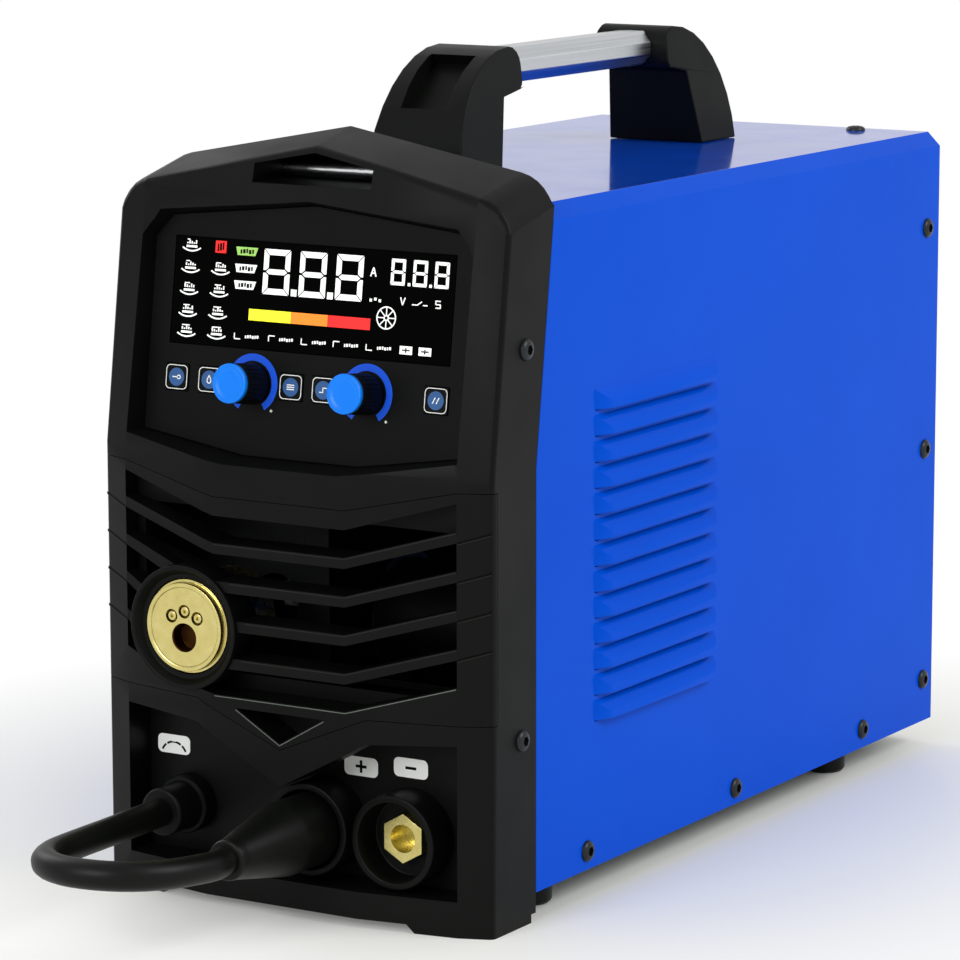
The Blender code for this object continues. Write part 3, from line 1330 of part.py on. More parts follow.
def build_switch():
    face = REAR_Y + GAP
    half_x = SWITCH_WIDTH / 2
    half_z = SWITCH_HEIGHT / 2
    body_x = half_x - SWITCH_WALL / 2
    body_z = half_z - SWITCH_WALL / 2
    frame = box("power_switch_frame", (FITTINGS_X - half_x, face, SWITCH_Z - half_z),
                (FITTINGS_X + half_x, face + SWITCH_FLANGE, SWITCH_Z + half_z))
    fuse(frame, box("switch_body", (FITTINGS_X - body_x, face - SWITCH_DEPTH, SWITCH_Z - body_z),
                    (FITTINGS_X + body_x, face + SWITCH_FLANGE / 2, SWITCH_Z + body_z)))
    well_x = half_x - SWITCH_WALL
    well_z = half_z - SWITCH_WALL
    floor = face - SWITCH_DEPTH + SWITCH_WALL
    low = (FITTINGS_X - well_x, floor, SWITCH_Z - well_z)
    cut(frame, box("cut_well", low, (FITTINGS_X + well_x, REAR_Y + OVERSHOOT, SWITCH_Z + well_z)))
    finish(frame, BLACK_MOULDING)
    pivot = face + SWITCH_FLANGE / 2
    swing = well_z - RUNNING_GAP
    crest = ROCKER_PROUD
    end = swing * math.cos(ROCKER_TILT) - crest * math.sin(ROCKER_TILT)
    shoulder = end - ROCKER_SHOULDER_IN
    outline = [(ROCKER_DISH, 0), (crest, end), (0, end), (-ROCKER_SHOULDER, shoulder),
               (-ROCKER_KEEL, ROCKER_KEEL_HALF), (-ROCKER_KEEL, -ROCKER_KEEL_HALF),
               (-ROCKER_SHOULDER, -shoulder), (0, -end), (crest, -end)]
    rocker = side_plate("power_switch_rocker", outline, -(well_x - RUNNING_GAP), well_x - RUNNING_GAP)
    place(rocker, at(FITTINGS_X, pivot, SWITCH_Z) @ Matrix.Rotation(ROCKER_TILT, 4, "X") @ SIDE_VIEW)
    finish(rocker, RED_PLASTIC)


def build_rear_fittings():
    spot = at(FITTINGS_X, REAR_Y, MAINS_Z) @ BACKWARD_AXIS
    taper = MAINS_LENGTH - MAINS_TAPER
    profile = [(MAINS_BORE, MAINS_LENGTH), (MAINS_MOUTH, MAINS_LENGTH), (MAINS_CAP, taper),
               (MAINS_CAP, MAINS_NUT_LENGTH), (MAINS_NUT, MAINS_NUT_LENGTH), (MAINS_NUT, GAP),
               (MAINS_SHANK, GAP), (MAINS_SHANK, -MAINS_TAIL), (MAINS_BORE, -MAINS_TAIL)]
    finish(turned("mains_gland", profile, 24, spot), BLACK_MOULDING)
    spot = at(FITTINGS_X, REAR_Y, GAS_Z) @ BACKWARD_AXIS
    profile = [(GAS_BORE, GAS_LENGTH)]
    for i in range(GAS_RIDGES):
        top = GAS_LENGTH - i * (GAS_RIDGE + GAS_RIDGE_STEP)
        profile += [(GAS_NECK, top), (GAS_BARB, top - GAS_RIDGE)]
    neck_top = GAS_LENGTH - GAS_RIDGES * (GAS_RIDGE + GAS_RIDGE_STEP)
    profile += [(GAS_NECK, neck_top), (GAS_NECK, GAS_HEX_LENGTH), (GAS_HEX, GAS_HEX_LENGTH), (GAS_HEX, GAP),
                (GAS_BARB, GAP), (GAS_BARB, -GAS_TAIL), (GAS_BORE, -GAS_TAIL)]
    finish(turned("gas_inlet", profile, 18, spot), BRASS)


# Handle
def post_outline(side):
    """Side view of a handle post: swept outer face, upright inner face, nose round the tube."""
    swell = POST_REACH - POST_CURVE_CENTRE
    outer = []
    for i in range(POST_STEPS + 1):
        turn = math.pi / 2 * i / POST_STEPS
        outer.append((POST_CURVE_CENTRE + swell * math.cos(turn), POST_HEIGHT * math.sin(turn)))
    radius = POST_CURVE_CENTRE - POST_NOSE
    crown = arc((POST_CURVE_CENTRE, POST_HEIGHT - radius), radius, 90, 180, 4)[1:]
    chin_z = POST_HEIGHT - POST_NOSE_DEPTH
    under = arc((POST_NOSE + radius / 2, chin_z + radius / 2), radius / 2, 180, 270, 3)
    neck = [(POST_INNER - radius, chin_z - radius / 4), (POST_INNER, 0)]
    outline = outer + crown + under + neck
    return [(HANDLE_Y + side * u, CASE_TOP + GAP + h) for u, h in outline]


def build_posts():
    for name, side in (("handle_post_front", -1), ("handle_post_rear", 1)):
        post = side_plate(name, post_outline(side), -POST_BASE_HALF, POST_BASE_HALF)
        post.data.transform(post.matrix_local)
        place(post, Matrix())
        for vert in post.data.vertices:
            share = (vert.co.z - CASE_TOP) / POST_HEIGHT
            vert.co.x *= 1 + share * (POST_TOP_HALF / POST_BASE_HALF - 1)
        round_edges(post, POST_ROUND, 3, 50)
        spot = at(0, HANDLE_Y, TUBE_Z) @ FRONT_VIEW
        cut(post, plate(f"cut_socket_{name}", [tube_outline(GAP)], 2 * (POST_NOSE + TUBE_INSERT + GAP), spot))
        u = POST_CURVE_CENTRE + (POST_REACH - POST_CURVE_CENTRE) * math.cos(WINDOW_TURN)
        h = POST_HEIGHT * math.sin(WINDOW_TURN)
        window = box(f"cut_{name}_window", (-WINDOW_HALF, -WINDOW_LENGTH / 2, -WINDOW_DEPTH),
                     (WINDOW_HALF, WINDOW_LENGTH / 2, WINDOW_DEPTH * 2))
        window.data.transform(window.matrix_local)
        tilt = Matrix.Rotation(-side * WINDOW_TILT, 4, "X")
        place(window, at(0, HANDLE_Y + side * u, CASE_TOP + h) @ tilt)
        cut(post, window)
        finish(post, BLACK_MOULDING)


def tube_outline(margin):
    """The tube's section: a rectangle with broad chamfers."""
    half_x = TUBE_WIDTH / 2 + margin
    half_z = TUBE_HEIGHT / 2 + margin
    return mirrored([(half_x - TUBE_CHAMFER, -half_z), (half_x, TUBE_CHAMFER - half_z),
                     (half_x, half_z - TUBE_CHAMFER), (half_x - TUBE_CHAMFER, half_z)])


def build_tube():
    length = 2 * (POST_NOSE + TUBE_INSERT)
    spot = at(0, HANDLE_Y, TUBE_Z) @ FRONT_VIEW
    tube = plate("handle_tube", [tube_outline(0), tube_outline(-TUBE_WALL)], length, spot)
    finish(tube, ALUMINIUM)


# Wire spool
def build_spool():
    spot = at(DIVIDER_LEFT - GAP, SPOOL_Y, SPOOL_Z) @ LEFT_AXIS
    start = SPOOL_SIDE_GAP - GAP
    end = start + SPOOL_WIDTH
    journal = SPOOL_BORE - RUNNING_GAP
    hub_end = end + GAP
    stud_end = hub_end + NUT_LENGTH + GAP
    seat = start - RUNNING_GAP
    profile = [(0, stud_end), (HUB_STUD, stud_end), (HUB_STUD, hub_end), (journal, hub_end), (journal, seat),
               (HUB_FLANGE, seat), (HUB_FLANGE, 0), (0, 0)]
    finish(turned("spool_hub", profile, 28, spot, closed=False), GREY_PLASTIC)
    first = start + SPOOL_FLANGE
    second = end - SPOOL_FLANGE
    inner = SPOOL_BORE + SPOOL_WALL
    outer = SPOOL_CORE - SPOOL_WALL
    profile = [(SPOOL_BORE, end), (inner, end), (inner, first), (outer, first), (outer, end),
               (SPOOL_RADIUS, end), (SPOOL_RADIUS, second), (SPOOL_CORE, second), (SPOOL_CORE, first),
               (SPOOL_RADIUS, first), (SPOOL_RADIUS, start), (SPOOL_BORE, start)]
    finish(turned("wire_spool", profile, 32, spot), BLACK_MOULDING)
    core = SPOOL_CORE + GAP
    high = second - GAP
    low = first + GAP
    profile = [(core, high), (WINDING_RADIUS, high), (WINDING_RADIUS, low), (core, low)]
    finish(turned("wire_winding", profile, 32, spot), COPPER_WIRE)
    low = hub_end + GAP
    bore = HUB_STUD + GAP
    profile = [(bore, low + NUT_LENGTH), (NUT_CROWN, low + NUT_LENGTH), (NUT_RADIUS, low + NUT_RIM),
               (NUT_RADIUS, low), (bore, low)]
    finish(turned("spool_nut", profile, 24, spot), BLACK_MOULDING)


# Wire feeder
FEED_LEFT = DIVIDER_LEFT - FEED_STAND - FEED_PLATE
ROLL_Y = SEAM_Y + FEED_FRONT + ROLL_SET
ROLL_Z = EURO_Z - ROLL_NIP / 2 - ROLL_RADIUS
IDLER_Z = EURO_Z + ROLL_NIP / 2 + IDLER_RADIUS
PIVOT_Y = SEAM_Y + FEED_FRONT + PIVOT_SET
ROLL_NEAR = EURO_X + ROLL_WIDTH / 2
ROLL_FAR = EURO_X - ROLL_WIDTH / 2
ARM_NEAR = ROLL_FAR - RUNNING_GAP
ARM_FAR = ARM_NEAR - ARM_SHEET


def build_feed_plate():
    front = SEAM_Y + FEED_FRONT
    plate_low = (FEED_LEFT, front, EURO_Z - FEED_BELOW)
    plate_high = (FEED_LEFT + FEED_PLATE, front + FEED_LENGTH, EURO_Z + FEED_ABOVE)
    feed = round_edges(box("feed_plate", plate_low, plate_high), FEED_PLATE / 4, 1, 40)
    inside = FEED_LEFT + FEED_PLATE / 2
    for name, y in (("outlet", front), ("inlet", front + FEED_LENGTH - GUIDE_LENGTH)):
        guide_low = (EURO_X - GUIDE_HALF, y, EURO_Z - GUIDE_HALF)
        fuse(feed, box(f"guide_{name}", guide_low, (inside, y + GUIDE_LENGTH, EURO_Z + GUIDE_HALF)))
    cut(feed, hole("cut_wire", GUIDE_BORE, EURO_X, EURO_Z, front - FEED_PLATE, front + 2 * FEED_LENGTH, 12))
    spot = at(FEED_LEFT, ROLL_Y, ROLL_Z) @ RIGHT_AXIS
    cut(feed, rod("cut_feed_shaft", SHAFT_RADIUS + RUNNING_GAP, -FEED_PLATE, 2 * FEED_PLATE, 16, spot))
    pin = at(inside, PIVOT_Y, IDLER_Z) @ LEFT_AXIS
    fuse(feed, rod("arm_pivot", SHAFT_RADIUS, 0, inside - ARM_FAR, 16, pin))
    stand_end = FEED_PLATE / 2 + FEED_STAND - GAP
    for y in (front + FEED_FOOT_IN, front + FEED_LENGTH - FEED_FOOT_IN):
        for z in (plate_low[2] + FEED_FOOT_UP, plate_high[2] - FEED_FOOT_UP):
            fuse(feed, rod("feed_stand", FEED_PLATE / 2, 0, stand_end, 12, at(inside, y, z) @ RIGHT_AXIS))
    finish(feed, ALUMINIUM)


def build_motor():
    spot = at(DIVIDER_X + GAP, ROLL_Y, ROLL_Z) @ RIGHT_AXIS
    shaft_end = ARM_FAR - DIVIDER_X
    edge = MOTOR_RADIUS - MOTOR_EDGE
    profile = [(0, MOTOR_LENGTH), (edge, MOTOR_LENGTH), (MOTOR_RADIUS, MOTOR_LENGTH - MOTOR_EDGE),
               (MOTOR_RADIUS, 0), (SHAFT_RADIUS, 0), (SHAFT_RADIUS, shaft_end), (0, shaft_end)]
    finish(turned("feed_motor", profile, 24, spot, closed=False), GREY_PLASTIC)


def build_rolls():
    bore = SHAFT_RADIUS + GAP
    half = ROLL_WIDTH / 2
    for name, radius, z in (("drive_roll", ROLL_RADIUS, ROLL_Z), ("idler_roll", IDLER_RADIUS, IDLER_Z)):
        groove = radius - ROLL_NIP / 2
        rim = radius - ROLL_EDGE
        flat = half - ROLL_CHAMFER
        profile = [(bore, half), (rim, half), (radius, flat), (radius, ROLL_GROOVE), (groove, 0),
                   (radius, -ROLL_GROOVE), (radius, -flat), (rim, -half), (bore, -half)]
        finish(turned(name, profile, 20, at(EURO_X, ROLL_Y, z) @ RIGHT_AXIS), GALVANISED)


def build_arm():
    tail = PIVOT_Y + ARM_HALF
    nose = ROLL_Y - TENSION_SET - ARM_HALF
    top = IDLER_Z + ARM_NOSE_TOP
    outline = [(tail, IDLER_Z - ARM_HALF), (tail, IDLER_Z + ARM_HALF), (nose, top),
               (nose, IDLER_Z + ARM_NOSE_LOW)]
    arm = side_plate("pressure_arm", outline, ARM_FAR, ARM_NEAR)
    pivot = at(0, PIVOT_Y, IDLER_Z) @ RIGHT_AXIS
    cut(arm, rod("cut_pivot", SHAFT_RADIUS + GAP, -CASE_WIDTH, CASE_WIDTH, 16, pivot))
    axle = at(ARM_FAR, ROLL_Y, IDLER_Z) @ RIGHT_AXIS
    fuse(arm, rod("idler_axle", SHAFT_RADIUS, 0, ARM_SHEET + RUNNING_GAP + ROLL_WIDTH, 16, axle))
    knob_y = ROLL_Y - TENSION_SET
    seat_low = (ARM_FAR, knob_y - TENSION_SEAT, top - TENSION_SEAT_DROP)
    fuse(arm, box("tension_seat", seat_low, (ROLL_NEAR, knob_y + TENSION_SEAT, top)))
    spot = at(EURO_X, knob_y, top)
    cut(arm, rod("cut_tension", SHAFT_RADIUS + GAP, -2 * ARM_HALF, ARM_HALF, 16, spot))
    finish(arm, BLACK_MOULDING)
    edge = TENSION_KNOB - TENSION_EDGE
    profile = [(0, TENSION_LENGTH), (edge, TENSION_LENGTH), (TENSION_KNOB, TENSION_LENGTH - TENSION_EDGE),
               (TENSION_KNOB, GAP), (SHAFT_RADIUS, GAP), (SHAFT_RADIUS, -ARM_HALF), (0, -ARM_HALF)]
    finish(turned("tension_knob", profile, 20, spot, closed=False), BLACK_MOULDING)


# Power electronics
def build_electronics():
    floor = TRAY_TOP + GAP
    outline = [(SINK_X, floor), (SINK_X + SINK_WIDTH, floor)]
    pitch = (SINK_WIDTH - SINK_FIN) / (SINK_FINS - 1)
    top = floor + SINK_HEIGHT
    for i in reversed(range(SINK_FINS)):
        left = SINK_X + i * pitch
        right = left + SINK_FIN
        outline += [(right, floor + SINK_BASE), (right, top), (left, top), (left, floor + SINK_BASE)]
    outline = outline[:2] + outline[3:-1]
    front = SEAM_Y + SINK_FRONT
    finish(front_plate("heat_sink", outline, front, front + SINK_LENGTH), ALUMINIUM)
    low = (SINK_X - INVERTER_OVERHANG, front - INVERTER_OVERHANG, top + GAP)
    high = (low[0] + SINK_WIDTH + 2 * INVERTER_OVERHANG, low[1] + SINK_LENGTH + 2 * INVERTER_OVERHANG,
            low[2] + BOARD_SHEET)
    finish(box("inverter_board", low, high), GREEN_BOARD)
    core_y = SEAM_Y + CORE_FRONT
    core_high = (CORE_X + CORE_WIDTH, core_y + CORE_LENGTH, floor + CORE_HEIGHT)
    core = box("transformer", (CORE_X, core_y, floor), core_high)
    coil_start = core_y + (CORE_LENGTH - COIL_LENGTH) / 2
    coil = box("transformer_coil", (CORE_X - COIL_PROUD, coil_start, floor + COIL_PROUD),
               (CORE_X + CORE_WIDTH - COIL_PROUD, coil_start + COIL_LENGTH, floor + CORE_HEIGHT + COIL_PROUD))
    fuse(core, coil)
    finish(core, GREY_PLASTIC)


def main():
    frame = panel_frame()
    blank = bezel_blank()
    build_bezel(blank, frame)
    build_grille(blank)
    bpy.data.objects.remove(blank, do_unlink=True)
    build_grip_bar()
    build_control_panel(frame)
    build_keys(frame)
    build_knobs(frame)
    build_control_board(frame)
    build_euro()
    build_socket("minus", SOCKET_MINUS_X)
    plug_y = build_plug(build_socket("plus", SOCKET_PLUS_X))
    gland_y = build_gland()
    build_cable(gland_y, plug_y)
    build_cover()
    build_tray()
    build_feet()
    build_front_frame()
    build_divider()
    build_door()
    build_hinge()
    build_latches()
    build_rear_panel()
    build_guard(build_fan())
    build_switch()
    build_rear_fittings()
    build_posts()
    build_tube()
    build_spool()
    build_feed_plate()
    build_motor()
    build_rolls()
    build_arm()
    build_electronics()


main()
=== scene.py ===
import json
import math

import bmesh
import bpy
from mathutils import Matrix, Vector

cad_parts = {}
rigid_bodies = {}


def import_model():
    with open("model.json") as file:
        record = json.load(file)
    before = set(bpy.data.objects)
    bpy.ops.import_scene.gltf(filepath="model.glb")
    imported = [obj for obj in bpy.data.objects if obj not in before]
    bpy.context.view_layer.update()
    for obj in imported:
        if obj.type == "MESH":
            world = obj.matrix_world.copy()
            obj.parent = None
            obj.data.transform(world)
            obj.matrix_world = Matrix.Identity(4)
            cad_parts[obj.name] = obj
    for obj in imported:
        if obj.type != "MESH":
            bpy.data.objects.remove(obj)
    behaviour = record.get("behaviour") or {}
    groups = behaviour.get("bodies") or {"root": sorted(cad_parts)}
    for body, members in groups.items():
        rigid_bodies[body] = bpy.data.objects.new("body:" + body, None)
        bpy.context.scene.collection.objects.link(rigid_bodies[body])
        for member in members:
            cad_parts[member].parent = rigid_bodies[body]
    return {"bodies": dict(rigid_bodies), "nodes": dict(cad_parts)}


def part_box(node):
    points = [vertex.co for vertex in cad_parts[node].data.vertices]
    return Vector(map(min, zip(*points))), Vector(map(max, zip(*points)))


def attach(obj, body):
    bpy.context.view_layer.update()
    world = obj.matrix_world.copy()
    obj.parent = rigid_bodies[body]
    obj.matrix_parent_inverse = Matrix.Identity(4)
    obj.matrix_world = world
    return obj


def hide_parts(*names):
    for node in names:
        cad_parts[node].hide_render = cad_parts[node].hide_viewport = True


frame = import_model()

NODES = frame["nodes"]

# Sizes repeated from the part's source, in metres
GAP = 0.0003
HALF = 0.105
INNER = 0.0897
REAR_Y = 0.2197
CASE_TOP = 0.32545
COLUMN_Y = -0.236
COLUMN_SIDE_Y = -0.230
RECESS_Y = -0.219
PANEL_Y = -0.2253
LEAN_START = 0.209
LEAN = math.radians(7.8)
KEY_ROW = 0.0315
KEY_PROUD = 0.0006
KEY_PLACES = (-0.0702, -0.0520, -0.0072, 0.0104, 0.0702)
KNOB_PLACES = {"left": -0.0285, "right": 0.0333}
KNOB_RADIUS = 0.0095
KNOB_LENGTH = 0.0165
KNOB_CLEAR = 0.0008
CAP_LENGTH = 0.0025
EURO_X = -0.052
EURO_Z = 0.1286
SOCKET_Z = 0.0397
SOCKET_PLACES = {"minus": 0.0560, "plus": 0.0094}
SOCKET_RADIUS = 0.0218
SOCKET_LENGTH = 0.0185
SOCKET_RIM = 0.0033
SOCKET_DISH = 0.003
SOCKET_TAIL = 0.012
SOCKET_SHANK = 0.0135
INSERT_SHANK = 0.0098
GLAND_X = -0.0660
CABLE_RADIUS = 0.0067

# Print, screws and shading
INK = 0.00012
SCREW_RADIUS = 0.0050
WELD = 2e-6
FLAT = math.radians(0.6)
SHARP = math.radians(35)
ROUND_STEPS = 96

PANEL = Matrix.Translation((0, PANEL_Y, LEAN_START)) @ Matrix.Rotation(-LEAN, 4, "X")
FRONTWARD = Matrix.Rotation(math.radians(90), 4, "X")
REARWARD = Matrix.Rotation(math.radians(-90), 4, "X")
RIGHTWARD = Matrix.Rotation(math.radians(90), 4, "Y")
LEFTWARD = Matrix.Rotation(math.radians(-90), 4, "Y")


# Start: only the frame stays
def clear_strays():
    keep = set(NODES.values()) | set(frame["bodies"].values())
    keep |= {obj.parent for obj in keep if obj.parent}
    for obj in list(bpy.data.objects):
        if obj not in keep and obj.type in {"MESH", "LIGHT", "CAMERA"}:
            bpy.data.objects.remove(obj)


clear_strays()
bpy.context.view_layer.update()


# Camera at the photograph's angle
CAMERA_PLACE = (1.089365, -1.854798, 0.540757)
CAMERA_LENS = 164.68
CAMERA_YAW = math.radians(31.383)
CAMERA_PITCH = math.radians(9.906)
CAMERA_ROLL = math.radians(-0.093)


def add_camera():
    data = bpy.data.cameras.new("view_camera")
    data.lens = CAMERA_LENS
    data.sensor_width = 36.0
    data.dof.use_dof = False
    camera = bpy.data.objects.new("view_camera", data)
    turn = Matrix.Rotation(CAMERA_YAW, 4, "Z") @ Matrix.Rotation(math.pi / 2 - CAMERA_PITCH, 4, "X")
    camera.matrix_world = Matrix.Translation(CAMERA_PLACE) @ turn @ Matrix.Rotation(CAMERA_ROLL, 4, "Z")
    bpy.context.scene.collection.objects.link(camera)
    bpy.context.scene.camera = camera


# Materials
def linear(channel):
    level = channel / 255
    return level / 12.92 if level <= 0.04045 else ((level + 0.055) / 1.055) ** 2.4


def colour(red, green, blue):
    return (linear(red), linear(green), linear(blue), 1.0)


class Look:
    """A node material on one shader, with its patterns laid in the object's own coordinates."""

    def __init__(self, name, **sockets):
        self.material = bpy.data.materials.new(name)
        self.material.use_nodes = True
        self.tree = self.material.node_tree
        self.shader = self.tree.nodes["Principled BSDF"]
        for key, value in sockets.items():
            self.shader.inputs[key.replace("_", " ")].default_value = value
        self.place = self.node("ShaderNodeTexCoord").outputs["Object"]
        self.normal = None

    def node(self, kind, inputs=None, **settings):
        made = self.tree.nodes.new(kind)
        for key, value in settings.items():
            setattr(made, key, value)
        for key, value in (inputs or {}).items():
            made.inputs[key].default_value = value
        return made

    def link(self, output, socket):
        self.tree.links.new(output, socket)

    def stretched(self, stretch):
        if stretch == (1, 1, 1):
            return self.place
        mapping = self.node("ShaderNodeMapping", {"Scale": stretch})
        self.link(self.place, mapping.inputs["Vector"])
        return mapping.outputs["Vector"]

    def noise(self, scale, detail=2.0, stretch=(1, 1, 1)):
        texture = self.node("ShaderNodeTexNoise", {"Scale": scale, "Detail": detail})
        self.link(self.stretched(stretch), texture.inputs["Vector"])
        return texture.outputs["Fac"]

    def cells(self, scale, output="Distance", feature="F1", stretch=(1, 1, 1)):
        texture = self.node("ShaderNodeTexVoronoi", {"Scale": scale}, feature=feature)
        self.link(self.stretched(stretch), texture.inputs["Vector"])
        return texture.outputs[output]

    def waves(self, scale, direction="Z", kind="BANDS", distortion=0.0):
        way = {"BANDS": "bands_direction", "RINGS": "rings_direction"}[kind]
        inputs = {"Scale": scale, "Distortion": distortion, "Detail": 1.0}
        texture = self.node("ShaderNodeTexWave", inputs, wave_type=kind, **{way: direction})
        self.link(self.place, texture.inputs["Vector"])
        return texture.outputs["Fac"]

    def tone(self, factor, dark, light):
        mix = self.node("ShaderNodeMix", data_type="RGBA")
        self.link(factor, mix.inputs[0])
        mix.inputs[6].default_value = dark
        mix.inputs[7].default_value = light
        self.link(mix.outputs[2], self.shader.inputs["Base Color"])
        return mix.outputs[2]

    def gloss(self, factor, low, high):
        limits = {"From Min": 0.3, "From Max": 0.7, "To Min": low, "To Max": high}
        span = self.node("ShaderNodeMapRange", limits)
        self.link(factor, span.inputs["Value"])
        self.link(span.outputs["Result"], self.shader.inputs["Roughness"])

    def grain(self, height, depth, strength=1.0):
        bump = self.node("ShaderNodeBump", {"Distance": depth, "Strength": strength})
        self.link(height, bump.inputs["Height"])
        if self.normal:
            self.link(self.normal, bump.inputs["Normal"])
        self.normal = bump.outputs["Normal"]
        self.link(self.normal, self.shader.inputs["Normal"])


def moulded(name, dark, light, rough, grain=1400.0, depth=0.00003, **sockets):
    """Plastic, rubber or paint: a soft drift of tone and gloss over a fine grain."""
    look = Look(name, **sockets)
    look.tone(look.noise(55.0, 3.0), colour(*dark), colour(*light))
    look.gloss(look.noise(23.0, 4.0), *rough)
    look.grain(look.noise(grain, 2.0), depth)
    return look.material


def painted(name, dark, light):
    """Powder coat with a slight orange peel, polished by handling where it faces up."""
    look = Look(name, Specular_IOR_Level=0.03, Coat_Roughness=0.06)
    facing = look.node("ShaderNodeSeparateXYZ")
    look.link(look.node("ShaderNodeNewGeometry").outputs["True Normal"], facing.inputs["Vector"])
    polish = look.node("ShaderNodeMapRange", {"From Min": 0.75, "From Max": 0.95, "To Max": 0.8})
    look.link(facing.outputs["Z"], polish.inputs["Value"])
    look.link(polish.outputs["Result"], look.shader.inputs["Coat Weight"])
    look.tone(look.noise(9.0, 5.0), colour(*dark), colour(*light))
    look.gloss(look.noise(31.0, 4.0), 0.13, 0.22)
    look.grain(look.noise(420.0, 1.0), 0.00002, 0.4)
    return look.material


def brushed(name, dark, light, stretch):
    """Drawn metal: long hairlines in tone, gloss and height."""
    look = Look(name, Metallic=1.0, Anisotropic=0.4)
    lines = look.noise(1.0, 6.0, stretch)
    look.tone(lines, colour(*dark), colour(*light))
    look.gloss(lines, 0.24, 0.40)
    look.grain(lines, 0.00002)
    return look.material


def turned_metal(name, dark, light, rough):
    """Turned metal: fine tool rings about the piece's own axis, with a little tarnish."""
    look = Look(name, Metallic=1.0)
    rings = look.waves(900.0, "Z", "RINGS", 1.5)
    look.tone(look.noise(160.0, 4.0), colour(*dark), colour(*light))
    look.gloss(look.noise(210.0, 3.0), *rough)
    look.grain(rings, 0.00001)
    return look.material


def galvanised(name):
    """Zinc-plated sheet with its spangle."""
    look = Look(name, Metallic=1.0)
    spangle = look.cells(110.0, "Color")
    look.tone(spangle, colour(128, 132, 134), colour(170, 174, 176))
    look.gloss(look.noise(90.0, 3.0), 0.40, 0.55)
    look.grain(look.noise(700.0), 0.00001)
    return look.material


def lit(name, red, green, blue):
    """A lit sign behind the display's glass, slightly uneven."""
    look = Look(name, Roughness=0.5, Emission_Strength=0.45)
    dark = colour(red * 0.94, green * 0.94, blue * 0.94)
    tone = look.tone(look.noise(240.0, 2.0), dark, colour(red, green, blue))
    look.link(tone, look.shader.inputs["Emission Color"])
    return look.material


def wound(name, dark, light, pitch, direction):
    """Close turns of wire laid side by side."""
    look = Look(name, Metallic=1.0)
    turns = look.waves(0.314 / pitch, direction)
    look.tone(look.noise(300.0, 3.0), colour(*dark), colour(*light))
    look.gloss(look.noise(90.0), 0.24, 0.36)
    look.grain(turns, pitch * 0.4)
    return look.material


def circuit_board(name):
    """Green lacquer over faint copper tracks."""
    look = Look(name, Coat_Weight=0.3)
    look.tone(look.cells(160.0, "Color", stretch=(1, 1, 3)), colour(12, 66, 38), colour(26, 96, 56))
    look.gloss(look.noise(60.0), 0.30, 0.42)
    look.grain(look.cells(420.0), 0.00005)
    return look.material


def laminated(name):
    """Stacked core sheets seen on edge."""
    look = Look(name, Metallic=0.6)
    bands = look.waves(420.0, "Y")
    look.tone(bands, colour(44, 46, 50), colour(92, 94, 98))
    look.gloss(look.noise(90.0), 0.42, 0.58)
    look.grain(bands, 0.0001)
    return look.material


MATERIALS = {
    "case_blue": painted("case_blue_paint", (0, 74, 204), (2, 84, 218)),
    "moulded_black": moulded("moulded_black_grain", (6, 8, 6), (11, 13, 11), (0.36, 0.48), 1600.0, 0.00004,
                             Specular_IOR_Level=0.10),
    "panel_black": moulded("panel_black_film", (6, 8, 6), (10, 12, 10), (0.34, 0.46), 2200.0, 0.00002,
                           Specular_IOR_Level=0.08),
    "display_black": moulded("display_black_gloss", (1, 2, 1), (2, 3, 2), (0.10, 0.18), 300.0, 0.000002,
                             Specular_IOR_Level=0.02),
    "knob_blue": moulded("knob_blue_gloss", (2, 122, 244), (6, 132, 252), (0.22, 0.32), 1200.0, 0.00001,
                         Specular_IOR_Level=0.25),
    "rear_black": moulded("rear_black_coat", (14, 16, 16), (22, 24, 24), (0.48, 0.60), 900.0, 0.00006,
                          Specular_IOR_Level=0.25),
    "rubber_black": moulded("rubber_black_matt", (5, 7, 5), (10, 12, 9), (0.36, 0.48), 1100.0, 0.00004,
                            Specular_IOR_Level=0.16),
    "brass": turned_metal("brass_turned", (196, 180, 104), (226, 214, 146), (0.20, 0.34)),
    "aluminium": brushed("aluminium_drawn", (176, 180, 184), (218, 221, 224), (600.0, 8.0, 600.0)),
    "galvanised": galvanised("zinc_sheet"),
    "wire_copper": wound("copper_wire", (190, 108, 66), (226, 148, 102), 0.0010, "X"),
    "board_green": circuit_board("board_lacquer"),
    "inner_grey": moulded("inner_grey_grain", (92, 96, 98), (112, 116, 118), (0.44, 0.56)),
    "core_grey": laminated("core_sheets"),
    "switch_red": moulded("switch_red_gloss", (176, 14, 16), (204, 26, 24), (0.18, 0.28), 800.0, 0.00001,
                          Coat_Weight=0.4),
}
INKS = {
    "white": moulded("ink_white", (244, 246, 244), (253, 254, 252), (0.50, 0.62)),
    "blue": moulded("ink_blue", (14, 82, 226), (24, 94, 238), (0.44, 0.56), Specular_IOR_Level=0.2),
    "slate": moulded("ink_slate", (22, 74, 132), (34, 92, 156), (0.40, 0.52)),
    "black": moulded("ink_black", (3, 4, 3), (7, 8, 7), (0.46, 0.58), Specular_IOR_Level=0.05),
    # edge and glint: pale greys for painted highlights, laid as strokes where light catches the grille's
    # edges and under the column grooves
    "edge": moulded("edge_grey", (34, 37, 34), (42, 45, 42), (0.40, 0.52), Specular_IOR_Level=0.1),
    "glint": moulded("edge_glint", (92, 97, 92), (108, 113, 108), (0.34, 0.46), Specular_IOR_Level=0.2),
    "lit_white": lit("lit_white", 250, 252, 250),
    "lit_green": lit("lit_green", 150, 200, 96),
    "lit_yellow": lit("lit_yellow", 255, 250, 40),
    "lit_orange": lit("lit_orange", 252, 138, 28),
    "lit_red": lit("lit_red", 246, 24, 24),
}
SCREW_STEEL = moulded("screw_black_oxide", (28, 30, 32), (50, 53, 55), (0.28, 0.42), 900.0, 0.00002,
                      Metallic=0.7)
